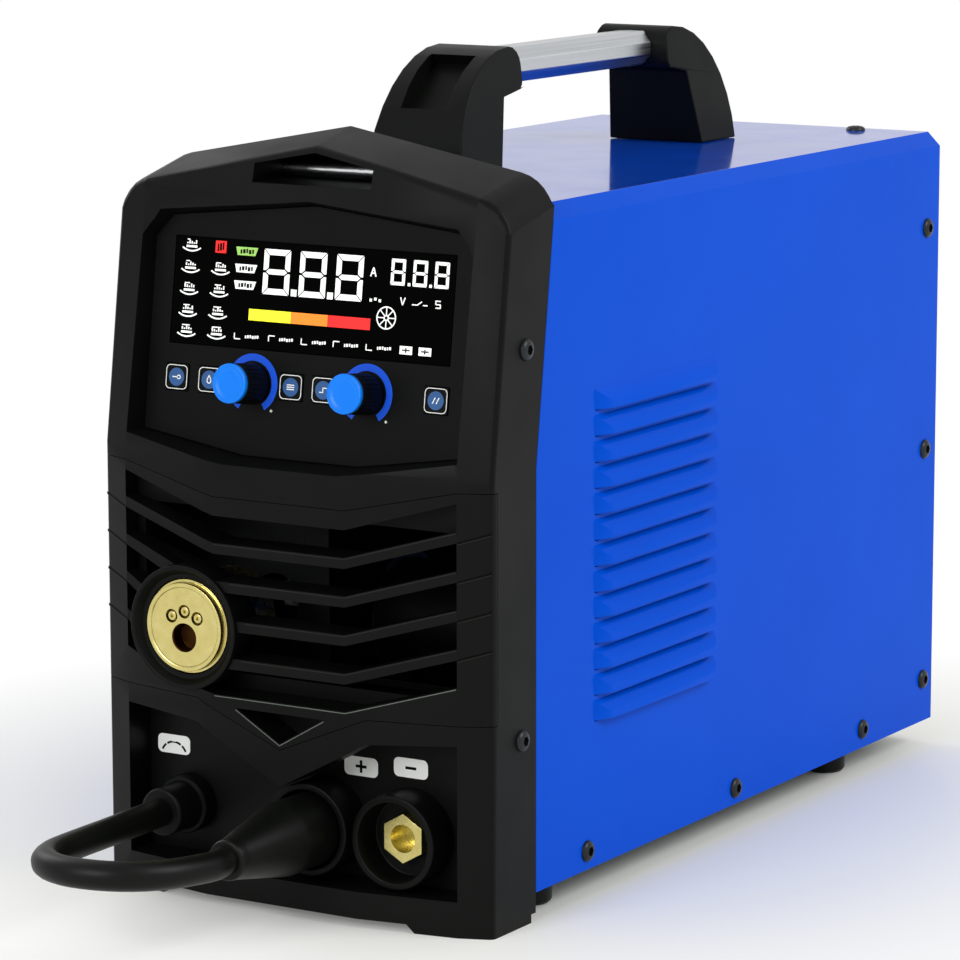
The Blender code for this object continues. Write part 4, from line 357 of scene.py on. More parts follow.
HOLE_BROWN = turned_metal("contact_copper", (44, 26, 10), (78, 48, 20), (0.30, 0.44))
MOTOR_BLACK = moulded("motor_black_enamel", (9, 10, 11), (16, 17, 18), (0.40, 0.54), 900.0, 0.00003,
                      Specular_IOR_Level=0.15)
BAR_STEEL = turned_metal("bar_polished", (226, 229, 231), (246, 248, 249), (0.16, 0.26))


# Pieces
def slot_of(node):
    return NODES[node].data.materials[0].name.split(".")[0]


def body_of(node):
    return NODES[node].parent.name.split(":")[1]


def add_piece(name, bm, body, material, place=Matrix(), smooth=True):
    """A mesh in its own coordinates, set in place, on the body it moves with."""
    bmesh.ops.recalc_face_normals(bm, faces=bm.faces)
    mesh = bpy.data.meshes.new(name)
    bm.to_mesh(mesh)
    bm.free()
    if smooth:
        mesh.shade_smooth()
        mesh.set_sharp_from_angle(angle=SHARP)
    mesh.materials.append(material)
    piece = bpy.data.objects.new(name, mesh)
    piece.matrix_world = place
    bpy.context.scene.collection.objects.link(piece)
    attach(piece, body)
    return piece


def stands_for(piece, node):
    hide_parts(node)
    return piece


def welded(node):
    bm = bmesh.new()
    bm.from_mesh(NODES[node].data)
    bmesh.ops.remove_doubles(bm, verts=bm.verts, dist=WELD)
    bmesh.ops.join_triangles(bm, faces=bm.faces, angle_face_threshold=FLAT, angle_shape_threshold=math.pi)
    return bm


def refine(node, width, place=Matrix(), segments=2, look=None, shape=None):
    """The solid again with its edges rounded over by a fine bevel."""
    bm = welded(node)
    if shape:
        shape(bm)
    bm.transform(place.inverted())
    finish = look or MATERIALS[slot_of(node)]
    piece = add_piece(f"{node}_shell", bm, body_of(node), finish, place, smooth=False)
    piece.data.shade_smooth()
    bevel = piece.modifiers.new("edges", "BEVEL")
    bevel.width = width
    bevel.segments = segments
    bevel.limit_method = "ANGLE"
    bevel.angle_limit = SHARP
    bevel.miter_outer = "MITER_ARC"
    even = piece.modifiers.new("even", "WEIGHTED_NORMAL")
    even.keep_sharp = True
    return stands_for(piece, node)


def add_rings(bm, rings, closed=False):
    """Skins rings of points one after another; an open run is capped at both ends."""
    loops = [[bm.verts.new(point) for point in ring] for ring in rings]
    pairs = list(zip(loops, loops[1:]))
    if closed:
        pairs.append((loops[-1], loops[0]))
    for first, second in pairs:
        for i in range(len(first)):
            j = (i + 1) % len(first)
            bm.faces.new((first[i], first[j], second[j], second[i]))
    if not closed:
        for loop in (loops[0], loops[-1]):
            middle = bm.verts.new(sum((v.co for v in loop), Vector()) / len(loop))
            for i in range(len(loop)):
                bm.faces.new((loop[i], loop[(i + 1) % len(loop)], middle))


def circle(radius, height, steps=ROUND_STEPS):
    turns = [2 * math.pi * i / steps for i in range(steps)]
    return [Vector((radius * math.cos(t), radius * math.sin(t), height)) for t in turns]


def eased(profile, radius, closed, steps=3):
    """The profile with each corner turned over a short curve."""
    points = [Vector(p) for p in profile]
    count = len(points)
    result = []
    for i, corner in enumerate(points):
        if not closed and i in (0, count - 1):
            result.append(corner)
            continue
        before = points[i - 1] - corner
        after = points[(i + 1) % count] - corner
        start = corner + before.normalized() * min(radius, before.length * 0.45)
        end = corner + after.normalized() * min(radius, after.length * 0.45)
        for step in range(steps + 1):
            t = step / steps
            result.append(start * (1 - t) ** 2 + corner * 2 * t * (1 - t) + end * t * t)
    return result


def turned(bm, profile, closed=False, ease=0.0006, steps=ROUND_STEPS):
    add_rings(bm, [circle(r, h, steps) for r, h in eased(profile, ease, closed)], closed)


def turned_piece(node, profile, place, closed=False, ease=0.0006, steps=ROUND_STEPS):
    bm = bmesh.new()
    turned(bm, profile, closed, ease, steps)
    piece = add_piece(f"{node}_turned", bm, body_of(node), MATERIALS[slot_of(node)], place)
    return stands_for(piece, node)


# Flat print: loops of points in the plane, given a little thickness
def rectangle(x, z, width, height):
    w, h = width / 2, height / 2
    return [(x - w, z - h), (x + w, z - h), (x + w, z + h), (x - w, z + h)]


def rounded(x, z, width, height, radius, steps=5):
    corners = ((1, 1, 0), (-1, 1, 90), (-1, -1, 180), (1, -1, 270))
    points = []
    for sx, sz, start in corners:
        cx = x + sx * (width / 2 - radius)
        cz = z + sz * (height / 2 - radius)
        points += bow(cx, cz, radius, start, start + 90, steps)
    return points


def bow(x, z, radius, start, end, steps):
    turns = [math.radians(start + (end - start) * i / steps) for i in range(steps + 1)]
    return [(x + radius * math.cos(t), z + radius * math.sin(t)) for t in turns]


def arc_band(x, z, inner, outer, start, end, steps=40):
    return bow(x, z, outer, start, end, steps) + bow(x, z, inner, end, start, steps)


def disc(x, z, radius, steps=40):
    return bow(x, z, radius, 0, 360, steps)[:-1]


def stroke(x0, z0, x1, z1, width):
    way = Vector((x1 - x0, z1 - z0)).normalized() * (width / 2)
    side = Vector((-way.y, way.x))
    a, b = Vector((x0, z0)), Vector((x1, z1))
    return [tuple(a + side), tuple(a - side), tuple(b - side), tuple(b + side)]


def add_plate(bm, outer, inner=None, lift=0.0, thick=INK):
    """One closed flat plate in local X and Z, its face towards -Y; inner is the hole's loop."""
    levels = (-lift, -lift - thick)
    rims = [[bm.verts.new((x, y, z)) for x, z in outer] for y in levels]
    for i in range(len(outer)):
        j = (i + 1) % len(outer)
        bm.faces.new((rims[0][i], rims[0][j], rims[1][j], rims[1][i]))
    if inner is None:
        for rim in rims:
            bm.faces.new(rim)
        return
    holes = [[bm.verts.new((x, y, z)) for x, z in inner] for y in levels]
    for i in range(len(inner)):
        j = (i + 1) % len(inner)
        bm.faces.new((holes[0][i], holes[0][j], holes[1][j], holes[1][i]))
        for rim, hole in zip(rims, holes):
            bm.faces.new((rim[i], rim[j], hole[j], hole[i]))


def add_print(name, shapes, body, ink, place, lift=0.0, thick=INK):
    bm = bmesh.new()
    for shape in shapes:
        outer, inner = shape if isinstance(shape, tuple) else (shape, None)
        add_plate(bm, outer, inner, lift, thick)
    return add_piece(name, bm, body, INKS[ink], place)


# Floor, world and lamps
FLOOR_CLEAR = 0.20
FLOOR_WHITE = 0.43


def add_floor():
    bm = bmesh.new()
    bmesh.ops.create_grid(bm, x_segments=8, y_segments=8, size=9.0)
    mesh = bpy.data.meshes.new("floor")
    bm.to_mesh(mesh)
    bm.free()
    look = Look("floor_pale", Roughness=0.6)
    look.tone(look.noise(3.0), colour(246, 247, 240), colour(250, 251, 244))
    tree = look.tree
    white = look.node("ShaderNodeEmission", {"Color": (1, 1, 1, 1), "Strength": 1.0})
    path = look.node("ShaderNodeLightPath")
    reach = look.node("ShaderNodeVectorMath", operation="LENGTH")
    look.link(look.place, reach.inputs[0])
    span = look.node("ShaderNodeMapRange", {"From Min": FLOOR_CLEAR, "From Max": FLOOR_WHITE})
    look.link(reach.outputs["Value"], span.inputs["Value"])
    seen = look.node("ShaderNodeMath", operation="MAXIMUM")
    look.link(path.outputs["Is Camera Ray"], seen.inputs[0])
    look.link(path.outputs["Is Glossy Ray"], seen.inputs[1])
    share = look.node("ShaderNodeMath", operation="MULTIPLY")
    look.link(span.outputs["Result"], share.inputs[0])
    look.link(seen.outputs["Value"], share.inputs[1])
    mix = look.node("ShaderNodeMixShader")
    look.link(share.outputs["Value"], mix.inputs[0])
    look.link(look.shader.outputs["BSDF"], mix.inputs[1])
    look.link(white.outputs["Emission"], mix.inputs[2])
    look.link(mix.outputs["Shader"], tree.nodes["Material Output"].inputs["Surface"])
    mesh.materials.append(look.material)
    floor = bpy.data.objects.new("floor", mesh)
    bpy.context.scene.collection.objects.link(floor)


def light_world():
    world = bpy.data.worlds.new("studio")
    bpy.context.scene.world = world
    world.use_nodes = True
    tree = world.node_tree
    tree.nodes.clear()
    path = tree.nodes.new("ShaderNodeLightPath")
    seen = tree.nodes.new("ShaderNodeMath")
    seen.operation = "MAXIMUM"
    tree.links.new(path.outputs["Is Camera Ray"], seen.inputs[0])
    tree.links.new(path.outputs["Is Glossy Ray"], seen.inputs[1])
    both = tree.nodes.new("ShaderNodeMath")
    both.operation = "MAXIMUM"
    tree.links.new(seen.outputs["Value"], both.inputs[0])
    tree.links.new(path.outputs["Is Transmission Ray"], both.inputs[1])
    soft = tree.nodes.new("ShaderNodeBackground")
    soft.inputs["Strength"].default_value = 0.55
    white = tree.nodes.new("ShaderNodeBackground")
    white.inputs["Strength"].default_value = 1.0
    mix = tree.nodes.new("ShaderNodeMixShader")
    tree.links.new(both.outputs["Value"], mix.inputs[0])
    tree.links.new(soft.outputs["Background"], mix.inputs[1])
    tree.links.new(white.outputs["Background"], mix.inputs[2])
    out = tree.nodes.new("ShaderNodeOutputWorld")
    tree.links.new(mix.outputs["Shader"], out.inputs["Surface"])


def add_lamp(name, place, aim, size, power):
    data = bpy.data.lights.new(name, "AREA")
    data.shape = "DISK"
    data.size = size
    data.energy = power
    lamp = bpy.data.objects.new(name, data)
    way = Vector(aim) - Vector(place)
    lamp.matrix_world = Matrix.Translation(place) @ way.to_track_quat("-Z", "Y").to_matrix().to_4x4()
    bpy.context.scene.collection.objects.link(lamp)


def add_studio():
    bpy.context.scene.view_settings.view_transform = "Standard"
    add_floor()
    light_world()
    middle = (0, 0, 0.18)
    add_lamp("key_lamp", (1.9, 0.2, 1.7), middle, 1.4, 30.0)
    add_lamp("front_lamp", (-0.2, -2.3, 1.1), middle, 1.2, 22.0)
    add_lamp("left_lamp", (-1.8, 0.3, 1.2), middle, 1.2, 12.0)


# Polarity cable
CABLE_ROUTE = ((-0.0660, -0.2453, 0.0397), (-0.0660, -0.2513, 0.0397), (-0.0660, -0.2573, 0.0397),
               (-0.0645, -0.2880, 0.0400), (-0.0630, -0.3150, 0.0405), (-0.0604, -0.3360, 0.0410),
               (-0.0515, -0.3520, 0.0420), (-0.0360, -0.3600, 0.0425), (-0.0190, -0.3590, 0.0425),
               (-0.0050, -0.3510, 0.0420), (0.0045, -0.3360, 0.0410), (0.0094, -0.3139, 0.0397),
               (0.0094, -0.3079, 0.0397), (0.0094, -0.3019, 0.0397))


def smooth_route(knots, steps):
    """Points on a smooth curve through the knots, with straight run-outs at both ends."""
    points = [Vector(k) for k in knots]
    ends = [2 * points[0] - points[1]] + points + [2 * points[-1] - points[-2]]
    route = []
    for i in range(1, len(ends) - 2):
        a, b, c, d = ends[i - 1:i + 3]
        for step in range(steps):
            t = step / steps
            route.append(0.5 * (2 * b + (c - a) * t + (2 * a - 5 * b + 4 * c - d) * t * t
                                + (3 * b - a - 3 * c + d) * t ** 3))
    route.append(points[-1])
    return route


def add_cable(plug):
    route = smooth_route(CABLE_ROUTE, 3)
    data = bpy.data.curves.new("polarity_cable_run", "CURVE")
    data.dimensions = "3D"
    data.bevel_depth = CABLE_RADIUS
    data.bevel_resolution = 10
    data.use_fill_caps = True
    spline = data.splines.new("POLY")
    spline.points.add(len(route) - 1)
    spline.use_smooth = True
    for point, co in zip(spline.points, route):
        point.co = (*co, 1)
    data.materials.append(MATERIALS["rubber_black"])
    cable = bpy.data.objects.new("polarity_cable_run", data)
    bpy.context.scene.collection.objects.link(cable)
    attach(cable, body_of("polarity_cable"))
    stands_for(cable, "polarity_cable")


def add_plug():
    start = 0.0096
    barrel = start + 0.030
    end = start + 0.073
    profile = [(0, end), (0.0092, end), (0.0097, end - 0.0055), (0.017, barrel), (0.017, start),
               (0.0061, start), (0.0061, 0.0003), (0, 0.0003)]
    place = Matrix.Translation((SOCKET_PLACES["plus"], RECESS_Y, SOCKET_Z)) @ FRONTWARD
    return turned_piece("polarity_plug", profile, place, ease=0.0012)


# Front panel
def add_keys():
    for i, x in enumerate(KEY_PLACES):
        node = f"button_{i + 1}"
        refine(node, 0.0002)
        place = PANEL @ Matrix.Translation((x, -KEY_PROUD, KEY_ROW))
        outer = rounded(0, 0, 0.0118, 0.0112, 0.0022)
        inner = rounded(0, 0, 0.0111, 0.0105, 0.0019)
        add_print(f"{node}_outline", [(outer, inner)], body_of(node), "white", place)
        add_print(f"{node}_dot", [disc(0, 0, 0.0042)], body_of(node), "slate", place)
        marks = key_marks(i)
        add_print(f"{node}_mark", marks, body_of(node), "white", place, INK)


def key_marks(index):
    """Small plain signs: a wire end, a gas drop, bars, a step and a pair of strokes."""
    thin = 0.0005
    signs = (
        [stroke(-0.0022, 0, 0.0006, 0, thin), arc_band(0.0013, 0, 0.0006, 0.0011, -160, 160, 16)],
        [arc_band(0, -0.0005, 0.0008, 0.0013, -230, 50, 20), stroke(-0.001, 0.0002, 0, 0.002, thin),
         stroke(0.001, 0.0002, 0, 0.002, thin)],
        [stroke(-0.002, 0.001, 0.002, 0.001, thin), stroke(-0.002, 0, 0.002, 0, thin),
         stroke(-0.002, -0.001, 0.002, -0.001, thin)],
        [stroke(-0.002, -0.001, 0, -0.001, thin), stroke(0, -0.00125, 0, 0.00125, thin),
         stroke(0, 0.001, 0.002, 0.001, thin)],
        [stroke(-0.0016, -0.0014, -0.0002, 0.0014, thin), stroke(0.0004, -0.0014, 0.0018, 0.0014, thin)],
    )
    return signs[index]


KNOB_STEPS = 144
KNOB_RIBS = 24
RIB_DEPTH = 0.00045


def ribbed(radius, height, ribs, depth, steps=KNOB_STEPS):
    ring = []
    for i in range(steps):
        turn = 2 * math.pi * i / steps
        r = radius - depth * max(0.0, math.cos(ribs * turn)) ** 2
        ring.append(Vector((r * math.cos(turn), r * math.sin(turn), height)))
    return ring


def add_knobs():
    for side, x in KNOB_PLACES.items():
        node = f"knob_{side}"
        place = PANEL @ Matrix.Translation((x, 0, KEY_ROW)) @ FRONTWARD
        bm = bmesh.new()
        rings = [circle(0.003, -0.004, KNOB_STEPS), circle(0.003, KNOB_CLEAR, KNOB_STEPS),
                 circle(KNOB_RADIUS - 0.0005, KNOB_CLEAR, KNOB_STEPS),
                 circle(KNOB_RADIUS, KNOB_CLEAR + 0.0005, KNOB_STEPS)]
        for step in range(7):
            height = 0.003 + step * 0.0021
            radius = KNOB_RADIUS - 0.0004 * height / KNOB_LENGTH
            depth = 0.0 if step in (0, 6) else RIB_DEPTH
            rings.append(ribbed(radius, height, KNOB_RIBS, depth))
        rings.append(circle(KNOB_RADIUS - 0.0004, KNOB_LENGTH - 0.0003, KNOB_STEPS))
        rings.append(circle(KNOB_RADIUS - 0.0007, KNOB_LENGTH, KNOB_STEPS))
        add_rings(bm, rings)
        stands_for(add_piece(f"{node}_ribbed", bm, body_of(node), MATERIALS["moulded_black"], place), node)
        low = KNOB_LENGTH + GAP
        high = low + CAP_LENGTH
        rim = KNOB_RADIUS - 0.0004
        profile = [(0, high - 0.0004), (rim * 0.62, high - 0.0004), (rim * 0.80, high),
                   (rim, high), (rim, low),
                   (0, low)]
        turned_piece(f"knob_cap_{side}", profile, place, ease=0.0007)
        ring = arc_band(0, 0, 0.0105, 0.01375, -57, 240, 64)
        flat = PANEL @ Matrix.Translation((x, 0, KEY_ROW))
        add_print(f"knob_scale_{side}", [ring], "case", "blue", flat)
        ticks = [stroke(0.0105, -0.0116, 0.0119, -0.0116, 0.0004),
                 stroke(0.0112, -0.0123, 0.0112, -0.0109, 0.0004)]
        add_print(f"knob_tick_{side}", ticks, "case", "white", flat)


# Display
def seven_segment(left, low, width, height, bar):
    """The seven bars of a lit figure eight, mitred where they meet."""
    right, top = left + width, low + height
    middle = low + height / 2
    slit = bar * 0.10
    half = bar / 2
    upper = (middle, top)
    shapes = [
        [(left + slit, top), (right - slit, top),
         (right - bar, top - bar + slit), (left + bar, top - bar + slit)],
        [(left + slit, low), (left + bar, low + bar - slit),
         (right - bar, low + bar - slit), (right - slit, low)],
        [(left + half, middle), (left + bar, middle + half - slit), (right - bar, middle + half - slit),
         (right - half, middle), (right - bar, middle - half + slit), (left + bar, middle - half + slit)],
    ]
    for edge, way in ((left, 1), (right, -1)):
        for start, end in (upper, (middle, low)):
            lift = 1 if end > start else -1
            shapes.append([(edge, end - lift * slit), (edge + way * (bar - slit), end - lift * bar),
                           (edge + way * (bar - slit), start + lift * (half + slit)),
                           (edge + way * (half - slit), start + lift * slit * 2),
                           (edge, start + lift * slit * 2)])
    return shapes


def process_icon(x, z, kind):
    """A small weld-pool bow under a plate and a run of tiny strokes."""
    bow_lift = 0.0071
    shapes = [arc_band(x, z + bow_lift, 0.0086, 0.0093, 236, 304, 14),
              stroke(x - 0.0030, z + 0.0002, x + 0.0030, z + 0.0002, 0.0010)]
    for i in range(5):
        tall = 0.0007 + 0.0005 * ((i * 2 + kind) % 3)
        shapes.append(rectangle(x - 0.0024 + 0.0012 * i, z + 0.0014 + tall / 2, 0.0007, tall))
    shapes.append(stroke(x - 0.0026, z + 0.0034, x - 0.0026 + 0.0007 * (kind + 2), z + 0.0034, 0.0005))
    return shapes


def caption(x, z, count, step, height):
    """A run of small blocks that stands for a printed word."""
    widths = [step * (0.55 + 0.25 * (i % 2)) for i in range(count)]
    return [rectangle(x + step * i, z + height * 0.12 * (i % 3 - 1), widths[i], height)
            for i in range(count)]


def wheel(x, z, radius):
    shapes = [(disc(x, z, radius), disc(x, z, radius - 0.0006)), (disc(x, z, 0.0014), disc(x, z, 0.0008))]
    for i in range(8):
        turn = math.pi * i / 4
        c, s = math.cos(turn), math.sin(turn)
        shapes.append(stroke(x + 0.0014 * c, z + 0.0014 * s,
                             x + (radius - 0.0006) * c, z + (radius - 0.0006) * s,
                             0.0005))
    return shapes


def letter(sign, x, z, height):
    """A unit letter in plain strokes."""
    w, h = height * 0.36, height / 2
    thin = height * 0.16
    runs = {
        "A": ((-w, -h, 0, h), (0, h, w, -h), (-w * 0.6, -h * 0.25, w * 0.6, -h * 0.25)),
        "V": ((-w, h, 0, -h), (0, -h, w, h)),
        "S": ((w, h * 0.9, -w, h * 0.9), (-w, h, -w, 0), (-w, 0, w, 0), (w, 0, w, -h),
              (w, -h * 0.9, -w, -h * 0.9)),
    }[sign]
    return [stroke(x + a, z + b, x + c, z + d, thin) for a, b, c, d in runs]


def add_display():
    refine("display_window", 0.0003)
    white, red = [], []
    for row, z in enumerate((0.0916, 0.0817, 0.0716, 0.0615, 0.0523)):
        white += process_icon(-0.0668, z, row)
        if row:
            white += process_icon(-0.0501, z, row + 1)
    red.append(rectangle(-0.0506, 0.0925, 0.0060, 0.0055))
    tabs = {"green": 0.0913, "white": 0.0835, "white_low": 0.0759}
    green, dark = [], []
    for key, z in tabs.items():
        tab = [(-0.0412, z - 0.0019), (-0.0315, z - 0.0019), (-0.0301, z + 0.0019), (-0.0422, z + 0.0019)]
        (green if key == "green" else white).append(tab)
        dark += caption(-0.0392, z, 5, 0.0016, 0.0019)
    dark += caption(-0.0520, 0.0925, 3, 0.0014, 0.0034)
    for left in (-0.0265, -0.0068, 0.0129):
        white += seven_segment(left, 0.0726, 0.0144, 0.0206, 0.0030)
    for x in (-0.0093, 0.0103):
        white.append(rectangle(x, 0.0741, 0.0031, 0.0031))
    for left in (0.0420, 0.0536, 0.0650):
        white += seven_segment(left, 0.0812, 0.0075, 0.0118, 0.0017)
    for x in (0.0518, 0.0631):
        white.append(rectangle(x, 0.0819, 0.0014, 0.0014))
    white += letter("A", 0.0327, 0.0863, 0.0040)
    white += letter("V", 0.0491, 0.0743, 0.0034)
    white += letter("S", 0.0677, 0.0740, 0.0034)
    for i in range(3):
        white.append(rectangle(0.0322 + 0.0024 * i, 0.0737 + 0.0006 * (i % 2), 0.0013, 0.0013))
    white.append(stroke(0.0540, 0.0731, 0.0568, 0.0731, 0.0005))
    white.append(stroke(0.0568, 0.0731, 0.0592, 0.0747, 0.0005))
    white.append(stroke(0.0598, 0.0731, 0.0622, 0.0731, 0.0005))
    white += wheel(0.0410, 0.0663, 0.0052)
    for i, x in enumerate((-0.0385, -0.0197, -0.0019, 0.0154, 0.0330)):
        z = 0.0526
        white.append(stroke(x - 0.0016, z - 0.0013, x - 0.0016, z + 0.0013, 0.0005))
        white.append(stroke(x - 0.0016, z + 0.0013 * (1 if i % 2 else -1), x + 0.0016,
                            z + 0.0013 * (1 if i % 2 else -1), 0.0005))
        white += caption(x + 0.0046, z, 6, 0.0013, 0.0013)
    for x in (0.0525, 0.0625):
        white.append(rectangle(x, 0.0526, 0.0066, 0.0037))
        dark.append(stroke(x - 0.0020, 0.0526, x + 0.0020, 0.0526, 0.0006))
        dark.append(stroke(x, 0.0515, x, 0.0537, 0.0006))
    bar_low, bar_high = 0.0602, 0.0654
    steps = (("yellow", -0.0330, -0.0100), ("orange", -0.0098, 0.0099), ("red", 0.0101, 0.0327))
    bars = {ink: [[(a, bar_low), (b, bar_low), (b, bar_high), (a, bar_high)]] for ink, a, b in steps}
    bars["red"] += red
    bars["green"] = green
    bars["white"] = white
    for ink, shapes in bars.items():
        add_print(f"display_{ink}", shapes, "case", f"lit_{ink}", PANEL)
    add_print("display_dark", dark, "case", "black", PANEL, INK)


# Front sockets, connector and labels
EURO_FACE = 0.0012
EURO_RADIUS = 0.0206
EURO_HOLE = (-0.0002, -0.0050, 0.0068)
EURO_PINS = ((-0.0071, 0.0046), (0.0, 0.0072), (0.0071, 0.0046))
PIN_RADIUS = 0.0032


def add_pierced(name, radius, holes, thick, look, place):
    """A round plate with round holes through it, its face at local zero."""
    bm = bmesh.new()
    for x, y, r in [(0, 0, radius)] + holes:
        loop = [bm.verts.new(point + Vector((x, y, 0))) for point in circle(r, 0.0, 48)]
        for i in range(len(loop)):
            bm.edges.new((loop[i - 1], loop[i]))
    bmesh.ops.triangle_fill(bm, use_beauty=True, edges=bm.edges)
    grown = bmesh.ops.extrude_face_region(bm, geom=bm.faces, use_keep_orig=True)["geom"]
    moved = [part for part in grown if isinstance(part, bmesh.types.BMVert)]
    bmesh.ops.translate(bm, vec=(0, 0, thick), verts=moved)
    return add_piece(name, bm, "case", look, place)


def add_connector(place):
    """The torch connector: a turned brass body, a pierced face, a lined torch hole and three pins."""
    rim = EURO_RADIUS - 0.0022
    face = EURO_FACE + 0.0006
    floor = face + 0.0085
    body = [(0, floor), (rim, floor), (rim, EURO_FACE + 0.0004), (EURO_RADIUS - 0.0016, EURO_FACE),
            (EURO_RADIUS, EURO_FACE), (EURO_RADIUS, 0.0045), (0.0219, 0.0045), (0.0219, 0.0440),
            (0, 0.0440)]
    turned_piece("euro_connector", body, place, ease=0.0003)
    x, z, radius = EURO_HOLE
    holes = [(x, -z, radius)] + [(px, -pz, PIN_RADIUS) for px, pz in EURO_PINS]
    add_pierced("connector_face", rim - 0.00005, holes, 0.0080, MATERIALS["brass"],
                place @ Matrix.Translation((0, 0, face)))
    inner = radius - 0.0005
    liner = [(0, 0.0068), (inner, 0.0068), (inner, 0.0006),
             (radius - 0.0001, 0.0002), (radius - 0.0001, 0.0078),
             (0, 0.0078)]
    add_turning("torch_hole", liner, HOLE_BROWN, place, (x, z, face))
    tip = PIN_RADIUS * 0.66
    bore = PIN_RADIUS * 0.26
    pin = [(0, 0.0020), (bore, 0.0020), (bore, 0.0002), (tip, 0.0004), (tip, 0.0080), (0, 0.0080)]
    for i, (px, pz) in enumerate(EURO_PINS):
        add_turning(f"control_pin_{i + 1}", pin, MATERIALS["brass"], place, (px, pz, face))


def add_turning(name, profile, look, place, spot):
    """A small turned detail set in a face, its axis the face's own."""
    x, z, depth = spot
    bm = bmesh.new()
    turned(bm, profile, False, 0.0001, 40)
    return add_piece(name, bm, "case", look, place @ Matrix.Translation((x, -z, depth)))


def add_front_fittings():
    front = -0.2457
    place = Matrix.Translation((EURO_X, front, EURO_Z)) @ REARWARD
    profile = [(0.027, 0), (0.029, 0), (0.029, 0.0132), (0.025, 0.0132), (0.025, 0.0245), (0.0223, 0.0245),
               (0.0223, 0.004), (0.0245, 0.004)]
    turned_piece("euro_collar", profile, place, True, 0.0005)
    add_connector(place)
    for name, x in SOCKET_PLACES.items():
        place = Matrix.Translation((x, RECESS_Y, SOCKET_Z)) @ FRONTWARD
        rim = SOCKET_RADIUS - SOCKET_RIM
        bore = INSERT_SHANK + GAP
        profile = [(rim, SOCKET_LENGTH), (SOCKET_RADIUS, SOCKET_LENGTH), (SOCKET_RADIUS, GAP),
                   (SOCKET_SHANK, GAP), (SOCKET_SHANK, -SOCKET_TAIL), (bore, -SOCKET_TAIL),
                   (bore, SOCKET_DISH), (rim, SOCKET_DISH)]
        turned_piece(f"socket_{name}", profile, place, True, 0.0008)
        refine(f"brass_{name}", 0.0005, place)
    place = Matrix.Translation((GLAND_X, RECESS_Y, SOCKET_Z)) @ FRONTWARD
    profile = [(0, 0.026), (0.0112, 0.026), (0.0112, 0.009), (0.0137, 0.009), (0.0137, GAP), (0.009, GAP),
               (0.009, -SOCKET_TAIL), (0, -SOCKET_TAIL)]
    turned_piece("cable_gland", profile, place, ease=0.0016)


def add_labels():
    thin = 0.0013
    spots = {"arc": (-0.0763, 0.0657), "plus": (0.0279, 0.0679), "minus": (0.0547, 0.0704)}
    signs = {
        "arc": [arc_band(0, -0.0062, 0.0068, 0.0078, 128, 154, 8),
                arc_band(0, -0.0062, 0.0068, 0.0078, 100, 121, 8),
                arc_band(0, -0.0062, 0.0068, 0.0078, 59, 80, 8),
                arc_band(0, -0.0062, 0.0068, 0.0078, 26, 52, 8),
                stroke(-0.0014, 0.0009, 0.0014, 0.0009, 0.0006)],
        "plus": [stroke(-0.0029, 0, 0.0029, 0, thin), stroke(0, -0.0029, 0, 0.0029, thin)],
        "minus": [stroke(-0.0029, 0, 0.0029, 0, thin)],
    }
    for name, (x, z) in spots.items():
        place = Matrix.Translation((x, RECESS_Y, z))
        add_print(f"label_{name}", [rounded(0, 0, 0.0182, 0.0090, 0.0026)], "case", "white", place)
        add_print(f"label_{name}_sign", signs[name], "case", "black", place, INK)


# Grooves that carry the slats on over both columns, drawn as painted shade with a painted highlight under
# each
GRILLE_BEND = 0.0355
SLAT_RISE = 0.2122
SLAT_LIFT = 0.075
SLAT_BAND = (0.0985, 0.1830)
GROOVE_TOPS = [0.1936 - 0.0176 * (i + 1) for i in range(4)]


def lift_slats(bm):
    """Raises the slats' outer ends a little, as the photographed grille has them."""
    boss = Vector((EURO_X, EURO_Z))
    for vert in bm.verts:
        out = abs(vert.co.x) - GRILLE_BEND
        level = vert.co.z - out * SLAT_RISE
        clear = (Vector((vert.co.x, vert.co.z)) - boss).length > 0.0335
        if 0 < out <= INNER - GRILLE_BEND + GAP and SLAT_BAND[0] < level < SLAT_BAND[1] and clear:
            vert.co.z += out * SLAT_LIFT


def add_grooves():
    run = Vector((HALF - INNER, COLUMN_SIDE_Y - COLUMN_Y))
    for side, name in ((1, "right"), (-1, "left")):
        turn = Matrix.Rotation(side * math.atan2(run.y, run.x), 4, "Z")
        place = Matrix.Translation((side * INNER, COLUMN_Y - 0.00005, 0)) @ turn
        reach = side * (run.length - 0.0006)
        start = (INNER - GRILLE_BEND) * SLAT_LIFT
        # black strokes are painted shade standing for each groove; the pale strokes just below are painted
        # highlights on its lower lip
        dark, groove_highlight = [], []
        for top in GROOVE_TOPS:
            low = top + start
            high = low + abs(reach) * (SLAT_RISE + SLAT_LIFT)
            dark.append(stroke(side * 0.0004, low, reach, high, 0.0009))
            groove_highlight.append(stroke(side * 0.0004, low - 0.0007, reach, high - 0.0007, 0.0003))
        add_print(f"column_groove_{name}", dark, "case", "black", place, 0.0, 0.00006)
        add_print(f"column_groove_edge_{name}", groove_highlight, "case", "edge", place, 0.0, 0.00006)


# Painted highlights on the grille's edges: the tops of the slats and the V cut-out
NOSE_Y = -0.244
NOSE_SIDE = 0.041
SLAT_TOP = 0.1695
SLAT_STEP = 0.0176
SLAT_COUNT = 5
NOTCH_TIP = 0.0800
NOTCH_WING = 0.0940
NOTCH_HALF = 0.0240
GLINT = 0.0004
GLINT_DROP = 0.0007
BOSS_CLEAR = 0.0340


